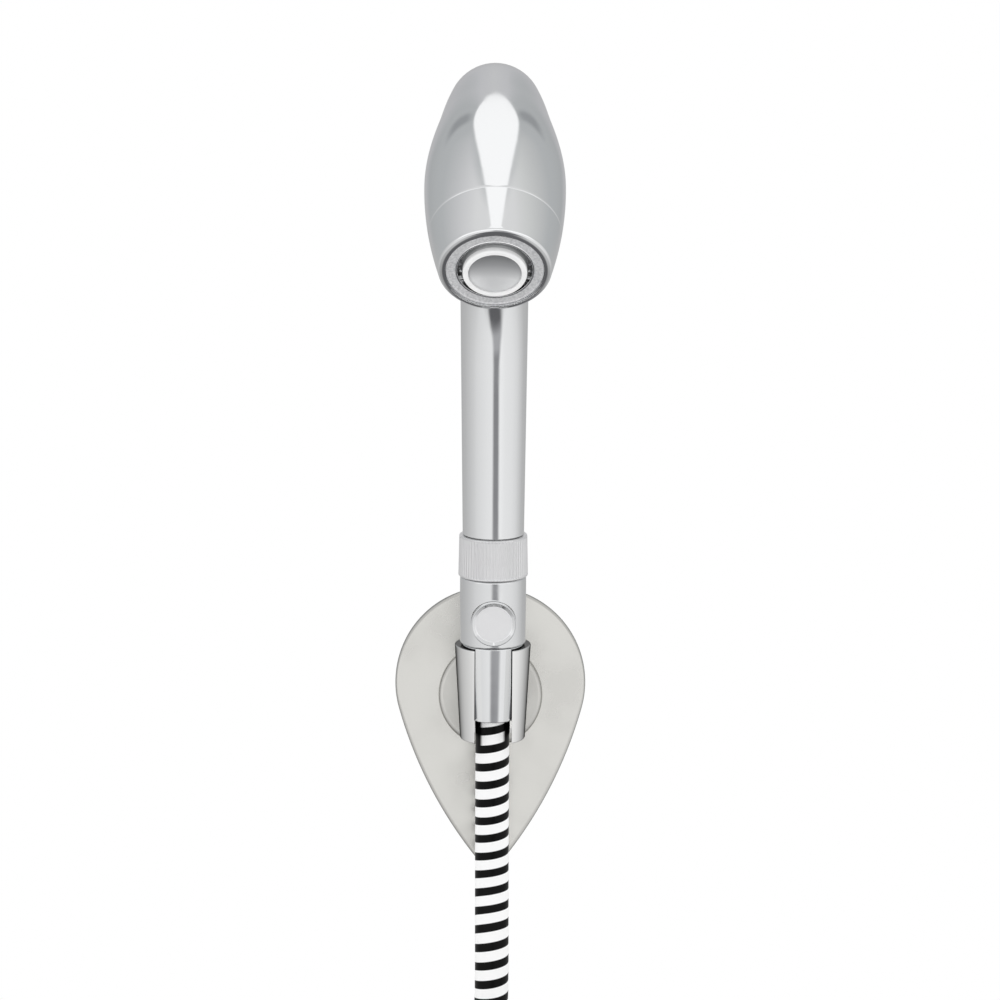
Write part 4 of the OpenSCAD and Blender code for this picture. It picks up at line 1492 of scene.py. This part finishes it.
@dataclass
class Hose:
    """Striped hose from the cone nut to the stored coil and its supply end."""

    diameter: float = 14.0
    exit_z: float = -11.5
    straight: float = 16.0
    coil_d: float = 150.0
    coil_turns: float = 2.5
    coil_y: float = -28.0
    coil_z: float = -240.0
    tail_len: float = 60.0
    ribbon_pitch: float = 7.7
    sides: int = 36
    step: float = 1.5
    lead_in: float = 12.0
    route: Sequence[Corner] = (
        (0, -38.0, -43.0),
        (0, -35.6, -54.5),
        (0, -33.2, -70.0),
        (0, -32.2, -86.0),
        (0, -31.8, -100.0),
        (0, -30.2, -115.0),
        (-0.5, -27.6, -130.0),
        (-4.5, -25.2, -149.0),
        (-16.0, -24.2, -168.0),
        (-34.0, -24.0, -182.5),
        (-54.0, -24.6, -195.0),
        (-68.5, -26.2, -215.0),
        (-74.5, -27.6, -234.0),
    )

    def on_axis(self, z: float) -> Vector:
        """A point of the handset's axis, in millimetres in the model's frame."""
        return PLACES.handset @ Vector((0, 0, z)) / MM

    def line(self) -> list[Vector]:
        """Draws the hose's middle line, from the cone nut down to the coil, round it and up its tail.

        Returns:
            Closely spaced points, in millimetres.
        """
        start = [self.on_axis(self.exit_z), self.on_axis(self.exit_z - self.straight)]
        coil = Vector((-self.coil_d / 2, self.coil_y, self.coil_z))
        knots = [*start, *[Vector(p) for p in self.route], coil]
        before, after = knots[0] * 2 - knots[1], coil - Vector((0, 0, self.lead_in))
        knots = [before, *knots, after]
        points: list[Vector] = []
        for a, b, c, d in zip(knots, knots[1:], knots[2:], knots[3:]):
            count = max(2, round((c - b).length / self.step))
            points.extend(self.between(a, b, c, d, i / count) for i in range(count))
        sweep = math.tau * self.coil_turns
        count = round(sweep * self.coil_d / 2 / self.step)
        for i in range(count + 1):
            w = sweep * i / count
            x, z = -self.coil_d / 2 * math.cos(w), self.coil_z - self.coil_d / 2 * math.sin(w)
            points.append(Vector((x, self.coil_y - self.diameter * w / math.tau, z)))
        count = round(self.tail_len / self.step)
        points += [points[-1] + Vector((0, 0, self.tail_len * i / count)) for i in range(1, count + 1)]
        return points

    @staticmethod
    def between(a: Vector, b: Vector, c: Vector, d: Vector, share: float) -> Vector:
        """Finds a point of the smooth curve through four knots.

        Args:
            a: the knot before.
            b: the knot where this stretch starts.
            c: the knot where it ends.
            d: the knot after.
            share: the share of the way from b to c.

        Returns:
            The point.
        """
        times = [0.0]
        for p, q in ((a, b), (b, c), (c, d)):
            times.append(times[-1] + math.sqrt((q - p).length))
        now = times[1] + (times[2] - times[1]) * share
        points = [a, b, c, d]
        for spans in (((0, 1), (1, 2), (2, 3)), ((0, 2), (1, 3)), ((1, 2),)):
            points = [
                p.lerp(q, (now - times[i]) / (times[k] - times[i]))
                for p, q, (i, k) in zip(points, points[1:], spans)
            ]
        return points[0]

    @staticmethod
    def mapped(bm: Mesh, rows: Sequence[Ring], turns: Sequence[float]) -> None:
        """Maps the hose: U once round it, V along it.

        Args:
            bm: the hose's mesh.
            rows: its rings.
            turns: V at each ring, in turns of the ribbon.
        """
        uv = bm.loops.layers.uv.new("ribbon")
        spots = {vert: (i / len(row), along) for row, along in zip(rows, turns) for i, vert in enumerate(row)}
        for face in bm.faces:
            around = [spots[loop.vert][0] for loop in face.loops]
            wraps = max(around) - min(around) > 0.5
            for loop in face.loops:
                u, v = spots[loop.vert]
                loop[uv].uv = (u + 1 if wraps and u < 0.5 else u, v)

    def build(self) -> None:
        """Stretches a ring along the line, turned as little as possible, and gives it the ribbon's map."""
        line = self.line()
        lengths = [0.0]
        for p, q in zip(line, line[1:]):
            lengths.append(lengths[-1] + (q - p).length)
        bm, rows = stretched_ring(self.sides, len(line))
        ways = [(after - before).normalized() for before, after in zip(line[:1] + line, line[1:] + line[-1:])]
        front = Vector((0, -1, 0))
        for row, at, way in zip(rows, line, ways):
            front = (front - way * front.dot(way)).normalized()
            side = way.cross(front)
            for i, vert in enumerate(row):
                w = math.tau * i / self.sides
                vert.co = at + (front * math.cos(w) + side * math.sin(w)) * self.diameter / 2
        self.mapped(bm, rows, [length / self.ribbon_pitch for length in lengths])
        capped(bm)
        made = piece(bm, "hose", PLACES.model, HOSE_PVC, Body.HOSE, ["hose_tube", "hose_coil", "hose_tail"])
        LOG.info("hose is %.3f m long", lengths[-1] * MM)


@dataclass
class CoilStrap:
    """Strap round the coil's lowest part."""

    width: float = 16.0
    wall: float = 1.6
    gap: float = 0.1
    fillet: float = 4.0
    fillet_steps: int = 8
    steps: int = 12

    def outline(self, hose: Hose, inset: float, fillet: float) -> list[Point]:
        """Draws the strap's rounded outline across the turns.

        Args:
            hose: the hose that it holds.
            inset: how far inside the strap's outer face it lies.
            fillet: its corners' radius.

        Returns:
            Its points, of (across, inwards).
        """
        side = hose.diameter * (hose.coil_turns + 1) / 2 + self.gap + self.wall - inset
        low, high = inset - self.gap - self.wall, hose.diameter + self.gap + self.wall - inset
        corners = [(side, low, fillet), (side, high, fillet), (-side, high, fillet), (-side, low, fillet)]
        return rounded([corners[-1], *corners, corners[0]], self.fillet_steps)[1:-1]

    def build(self, hose: Hose) -> None:
        """Stretches the outline along the strap's outside and back along its inside, bent with the turns.

        Args:
            hose: the hose that it holds.
        """
        radius = (hose.coil_d + hose.diameter) / 2
        middle_y = hose.coil_y - hose.diameter * hose.coil_turns / 2
        spread = self.width / radius
        turns = [-spread / 2 + spread * i / self.steps for i in range(self.steps + 1)]
        outer, inner = self.outline(hose, 0.0, self.fillet), self.outline(hose, self.wall, self.fillet - 1)
        order = [(outer, w) for w in turns] + [(inner, w) for w in reversed(turns)] + [(outer, turns[0])]
        bm, rows = stretched_ring(len(outer), len(order))
        for row, (outline, w) in zip(rows, order):
            for vert, (across, rise) in zip(row, outline):
                r = radius - rise
                vert.co = (r * math.sin(w), middle_y + across, hose.coil_z - r * math.cos(w))
        bmesh.ops.remove_doubles(bm, verts=bm.verts, dist=WELD)
        piece(bm, "coil_strap", PLACES.model, STRAP, Body.HOSE, ["coil_tie"])


@dataclass
class SupplyNut:
    """Hexagon nut for the wall outlet."""

    at: Corner = (75.0, -63.0, -165.2)
    across_flats: float = 25.0
    length: float = 16.0
    bore_d: float = 20.0
    lip_bore_d: float = 13.8
    lip_h: float = 4.0
    turn_off: float = 0.5
    clearance: float = 5.0

    def build(self) -> None:
        """Turns a hexagon's corners off at both ends, and drills it."""
        slope = math.radians(30)
        corner = self.across_flats / math.cos(slope) / 2
        bm = bmesh.new()
        bmesh.ops.create_cone(
            bm,
            cap_ends=True,
            segments=6,
            radius1=corner,
            radius2=corner,
            depth=self.length,
            matrix=shift(z=self.length / 2),
        )
        start, outer, far = self.across_flats / 2 - self.turn_off, corner + 2, corner + 11
        fall, clear = (outer - start) * math.tan(slope), self.clearance
        rim = [
            (start, 0),
            (outer, fall),
            (outer, self.length - fall),
            (start, self.length),
            (start, self.length + clear),
            (far, self.length + clear),
            (far, -clear),
            (start, -clear),
        ]
        bm = cut(bm, spun(rim, 96))
        bm = cut(bm, cylinder(self.lip_bore_d / 2, -1, self.lip_h + 1, 64))
        bm = cut(bm, cylinder(self.bore_d / 2, self.lip_h, self.length + 1, 96))
        place = PLACES.model @ shift(*self.at)
        piece(bm, "supply_hex_nut", place, NUT_CHROME, Body.SUPPLY_NUT, ["supply_nut"], sharp=20)


# ---- The frame's own nodes ----


@dataclass
class HiddenParts:
    """Inner pieces that keep the frame's own meshes and get a finish."""

    finishes: tuple[tuple[Finish, tuple[str, ...]], ...] = (
        (
            RUBBER,
            ("seam_seal", "nozzle_seal", "coupling_washer", "spool_seals", "hose_washer", "supply_washer"),
        ),
        (ACETAL, ("diffuser", "flow_regulator")),
        (
            STEEL,
            (
                "inlet_screen",
                "coupling_snap_ring",
                "button_screw",
                "hose_ferrule",
                "supply_ferrule",
                "mounting_plate",
                "arm_bolt",
                "arm_washer",
                "cover_screw",
            ),
        ),
        (BRASS, ("valve_spool", "hose_nipple", "supply_nipple")),
    )

    def build(self, nodes: dict[str, Piece]) -> None:
        """Puts each finish on its nodes.

        Args:
            nodes: the frame's nodes by name.
        """
        for finish, names in self.finishes:
            for name in names:
                slots = nodes[name].data.materials
                slots.clear()
                slots.append(finish.material())
        LOG.info("finished %d inner nodes", sum(len(names) for _, names in self.finishes))


# ---- Studio ----


@dataclass
class Studio:
    """Pale floor, soft light all round, a long light overhead and the camera.

    The mirrored room is drawn by direction: walls by degrees about the vertical, the rest by the share of the
    way up or down. A pair of numbers is the start and the end of a soft change.
    """

    camera_at: Corner = (-0.032, -1.5, 0.0822)
    camera_yaw: float = -1.383
    lens: float = 127.06
    sensor: float = 36.0
    floor_drop: float = 0.06
    floor_radius: float = 1.2
    floor_grey: str = "#f6f6f6"
    fill_below: float = 0.85
    fill_above: float = 1.05
    fill_join: Point = (-0.9, 0.3)
    mirror_gain: float = 1.14
    low_walls: Stops = (
        (-180, "#b9b9b9"),
        (-126, "#b4b4b4"),
        (-105, "#bcbcbc"),
        (-83, "#c7c7c7"),
        (-69, "#d1d1d1"),
        (-55, "#d6d6d6"),
        (-27, "#dedede"),
        (0, "#e2e2e2"),
        (26, "#e8e8e8"),
        (41, "#e1e1e1"),
        (71, "#dcdcdc"),
        (91, "#d3d3d3"),
        (103, "#c8c8c8"),
        (116, "#bdbdbd"),
        (126, "#b5b5b5"),
        (180, "#b9b9b9"),
    )
    high_walls: Stops = (
        (-180, "#c0c0c1"),
        (-158, "#bcbcbe"),
        (-147, "#acaeaf"),
        (-118, "#adafb0"),
        (-104, "#b6b7b8"),
        (-80, "#c6c6c7"),
        (-54, "#d2d2d2"),
        (0, "#d4d4d4"),
        (54, "#d2d2d2"),
        (80, "#c6c7c6"),
        (104, "#b7b8b8"),
        (118, "#adafb0"),
        (147, "#acaeaf"),
        (158, "#bcbcbe"),
        (180, "#c0c0c1"),
    )
    wall_join: Point = (-0.05, 0.15)
    ceiling: str = "#b2b4b5"
    ceiling_join: Point = (0.86, 0.95)
    stroke_grey: str = "#929496"
    stroke_at: float = 135.0
    stroke_edge: Point = (0.03, 0.13)
    stroke_foot: Point = (0.5, 0.68)
    stroke_head: Point = (0.8, 0.9)
    front_grey: str = "#fbfbfb"
    front_depth: Point = (-0.6, -0.3)
    front_rise: Point = (0.12, 0.3)
    depths: Stops = (
        (0.0, "#ffffff"),
        (0.6, "#ffffff"),
        (0.7, "#dedede"),
        (0.88, "#d4d4d4"),
        (0.96, "#58585a"),
        (1.0, "#4c4c4e"),
    )
    least: float = 0.02
    strip_at: float = 0.26
    strip_half: float = 0.42
    strip_greys: Stops = (
        (0.0, "#7c7c7e"),
        (0.43, "#828284"),
        (0.5, "#a2a2a4"),
        (0.58, "#a2a2a4"),
        (0.66, "#5c5c5e"),
        (1.0, "#5c5c5e"),
    )
    strip_start: Point = (0.22, 0.34)
    strip_centring: Point = (0.55, 0.72)
    strip_widening: Point = (0.5, 0.68)
    strip_gain: float = 0.15
    strip_narrowing: Point = (0.7, 0.8)
    strip_loss: float = 0.25
    strip_soft: float = 0.2
    light_at: float = 0.03
    light_half: float = 0.42
    light_slope: float = 0.36
    light_less: float = 0.015
    light_reach: float = 1.92
    light_power: float = 6.0
    light_soft: float = 0.03
    light_end: Point = (0.47, 0.54)
    light_level: float = 0.92

    def camera(self) -> None:
        """Sets a level camera in front of the wall, a little to the left."""
        data = bpy.data.cameras.new("camera")
        data.lens = self.lens
        data.sensor_width = self.sensor
        made = bpy.data.objects.new("camera", data)
        made.location = self.camera_at
        made.rotation_euler = (math.radians(90), 0, math.radians(self.camera_yaw))
        bpy.context.scene.collection.objects.link(made)
        bpy.context.scene.camera = made

    def floor(self, level: float) -> None:
        """Lays a pale round floor under the object, which mirrors do not show.

        Args:
            level: its height, in metres.
        """
        bm = bmesh.new()
        bmesh.ops.create_circle(bm, cap_ends=True, segments=96, radius=self.floor_radius)
        mesh = bpy.data.meshes.new("floor")
        bm.to_mesh(mesh)
        bm.free()
        made = bpy.data.objects.new("floor", mesh)
        made.location = (0, 0, level)
        bpy.context.scene.collection.objects.link(made)
        paint = bpy.data.materials.new("pale_floor")
        paint.use_nodes = True
        shader = paint.node_tree.nodes["Principled BSDF"]
        feed(paint.node_tree, shader, {"Base Color": linear(self.floor_grey), "Roughness": 0.9})
        mesh.materials.append(paint)
        made.visible_glossy = False
        made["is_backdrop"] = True

    def world(self) -> None:
        """Makes the world white to the eye, a soft studio in the mirrors and even light on the rest."""
        world = bpy.data.worlds.new("studio")
        bpy.context.scene.world = world
        world.use_nodes = True
        tree = world.node_tree
        tree.nodes.clear()
        x, y, z = node(tree, "SeparateXYZ", (node(tree, "TexCoord", out="Generated"),)).node.outputs
        fill = node(tree, "MapRange", (z, *self.fill_join, self.fill_below, self.fill_above), **SMOOTH)
        mirror = node(tree, "Background", (self.mirrored(tree, x, y, z), self.mirror_gain))
        soft = node(tree, "Background", (linear("#ffffff"), fill))
        white = node(tree, "Background", (linear("#ffffff"), 1.0))
        lit = node(tree, "MixShader", (node(tree, "LightPath", out="Is Glossy Ray"), soft, mirror))
        seen = node(tree, "MixShader", (node(tree, "LightPath", out="Is Camera Ray"), lit, white))
        feed(tree, tree.nodes.new("ShaderNodeOutputWorld"), {"Surface": seen})

    def mirrored(self, tree: Tree, x: Socket, y: Socket, z: Socket) -> Socket:
        """Draws what the plated pieces mirror: the room, a dark strip below and a light overhead.

        Args:
            tree: the world's tree.
            x: the direction's share to the right.
            y: its share to the back.
            z: its share upwards.

        Returns:
            The colour.
        """
        up = node(tree, "Math", (z, self.least), operation="MAXIMUM")
        down = node(tree, "Math", (z, -1.0), operation="MULTIPLY")
        down = node(tree, "Math", (down, self.least), operation="MAXIMUM")
        deep = node(tree, "ValToRGB", (down,), stops=self.depths)
        room = {0: 1.0, 6: self.walls(tree, x, y, z), 7: deep}
        grey = node(tree, "Mix", room, 2, blend_type="MULTIPLY", **COLOUR)
        strip_grey = node(tree, "ValToRGB", (down,), stops=self.strip_greys)
        light_grey = (self.light_level,) * 3 + (1.0,)
        for share, other in (
            (self.strip(tree, x, down), strip_grey),
            (self.light(tree, x, y, up), light_grey),
        ):
            grey = node(tree, "Mix", {0: share, 6: grey, 7: other}, 2, **COLOUR)
        return grey

    def walls(self, tree: Tree, x: Socket, y: Socket, z: Socket) -> Socket:
        """Draws the walls and the ceiling, with a dark stroke in both back corners and a bright front.

        Args:
            tree: the world's tree.
            x: the direction's share to the right.
            y: its share to the back.
            z: its share upwards.

        Returns:
            The colour.
        """
        forward = node(tree, "Math", (y, -1.0), operation="MULTIPLY")
        azimuth = node(tree, "Math", (x, forward), operation="ARCTAN2")
        round_it = node(tree, "Math", (azimuth, 1 / math.tau, 0.5), operation="MULTIPLY_ADD")
        grey, high = (
            node(tree, "ValToRGB", (round_it,), stops=[(way / 360 + 0.5, code) for way, code in greys])
            for greys in (self.low_walls, self.high_walls)
        )
        joins = (self.wall_join, self.ceiling_join)
        upper, overhead = (node(tree, "MapRange", (z, *join), **SMOOTH) for join in joins)
        beside = node(tree, "Math", (azimuth,), operation="ABSOLUTE")
        beside = node(tree, "Math", (beside, math.radians(self.stroke_at)), operation="SUBTRACT")
        beside = node(tree, "Math", (beside,), operation="ABSOLUTE")
        stroke = node(tree, "MapRange", (beside, *self.stroke_edge, 1.0, 0.0), **SMOOTH)
        for span in (self.stroke_foot, (*self.stroke_head, 1.0, 0.0)):
            within = node(tree, "MapRange", (z, *span), **SMOOTH)
            stroke = node(tree, "Math", (stroke, within), operation="MULTIPLY")
        level = node(tree, "Math", (z,), operation="ABSOLUTE")
        ahead, flat = (
            node(tree, "MapRange", (value, *span, 1.0, 0.0), **SMOOTH)
            for value, span in ((y, self.front_depth), (level, self.front_rise))
        )
        front = node(tree, "Math", (ahead, flat), operation="MULTIPLY")
        for share, other in (
            (upper, high),
            (overhead, linear(self.ceiling)),
            (stroke, linear(self.stroke_grey)),
            (front, linear(self.front_grey)),
        ):
            grey = node(tree, "Mix", {0: share, 6: grey, 7: other}, 2, **COLOUR)
        return grey

    def strip(self, tree: Tree, x: Socket, down: Socket) -> Socket:
        """Draws the dark strip below.

        Args:
            tree: the world's tree.
            x: the direction's share to the right.
            down: its share downwards.

        Returns:
            The strip's share.
        """
        middle = node(tree, "MapRange", (down, *self.strip_centring, self.strip_at, 0.0), **SMOOTH)
        off = node(tree, "Math", (x, down), operation="DIVIDE")
        off = node(tree, "Math", (off, middle), operation="SUBTRACT")
        off = node(tree, "Math", (off,), operation="ABSOLUTE")
        widest = self.strip_half + self.strip_gain
        wide = node(tree, "MapRange", (down, *self.strip_widening, self.strip_half, widest), **SMOOTH)
        less = node(tree, "MapRange", (down, *self.strip_narrowing, 0.0, self.strip_loss), **SMOOTH)
        wide = node(tree, "Math", (wide, less), operation="SUBTRACT")
        beyond = node(tree, "Math", (off, wide), operation="SUBTRACT")
        within = node(tree, "MapRange", (beyond, -self.strip_soft, self.strip_soft, 1.0, 0.0), **SMOOTH)
        begun = node(tree, "MapRange", (down, *self.strip_start), **SMOOTH)
        return node(tree, "Math", (within, begun), operation="MULTIPLY")

    def light(self, tree: Tree, x: Socket, y: Socket, up: Socket) -> Socket:
        """Draws the long light overhead, with slanted sides and a round far end.

        Args:
            tree: the world's tree.
            x: the direction's share to the right.
            y: its share to the back.
            up: its share upwards.

        Returns:
            The light's share.
        """
        across = node(tree, "Math", (x, up), operation="DIVIDE")
        across = node(tree, "Math", (across, self.light_at), operation="SUBTRACT")
        across = node(tree, "Math", (across,), operation="ABSOLUTE")
        back = node(tree, "Math", (y, up), operation="DIVIDE")
        side = (back, self.light_slope, self.light_half - self.light_less)
        half = node(tree, "Math", side, operation="MULTIPLY_ADD")
        far = back
        starts = (("MULTIPLY", self.light_reach), ("MAXIMUM", 0.0), ("POWER", self.light_power))
        for operation, value in starts:
            far = node(tree, "Math", (far, value), operation=operation)
        far = node(tree, "Math", (1.0, far), operation="SUBTRACT")
        ends = (("MAXIMUM", 0.0), ("POWER", 0.5), ("MULTIPLY", self.light_half), ("MINIMUM", half))
        for operation, value in ends:
            far = node(tree, "Math", (far, value), operation=operation)
        beyond = node(tree, "Math", (across, far), operation="SUBTRACT")
        within = node(tree, "MapRange", (beyond, -self.light_soft, self.light_soft, 1.0, 0.0), **SMOOTH)
        before = node(tree, "MapRange", (back, *self.light_end, 1.0, 0.0), **SMOOTH)
        return node(tree, "Math", (within, before), operation="MULTIPLY")

    def build(self, level: float) -> None:
        """Sets up the camera, the floor, the world and the view.

        Args:
            level: the height of the model's foot, in metres.
        """
        self.camera()
        self.floor(level - self.floor_drop)
        self.world()
        bpy.context.scene.view_settings.view_transform = "Standard"


def main() -> None:
    """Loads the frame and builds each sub-assembly in order."""
    logging.basicConfig(level=logging.INFO, format="%(name)s: %(message)s")
    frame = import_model()
    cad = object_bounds()
    HiddenParts().build(frame["nodes"])
    hose = Hose()
    CoilStrap().build(hose)
    SupplyNut().build()
    hose.build()
    WallPlate().build()
    Holder().build()
    ConeNut().build()
    Valve().build()
    Coupling().build()
    Handset(HandsetSkin()).build()
    Nozzle().build()
    Studio().build(cad[0].z)


if __name__ == "__main__":
    main()
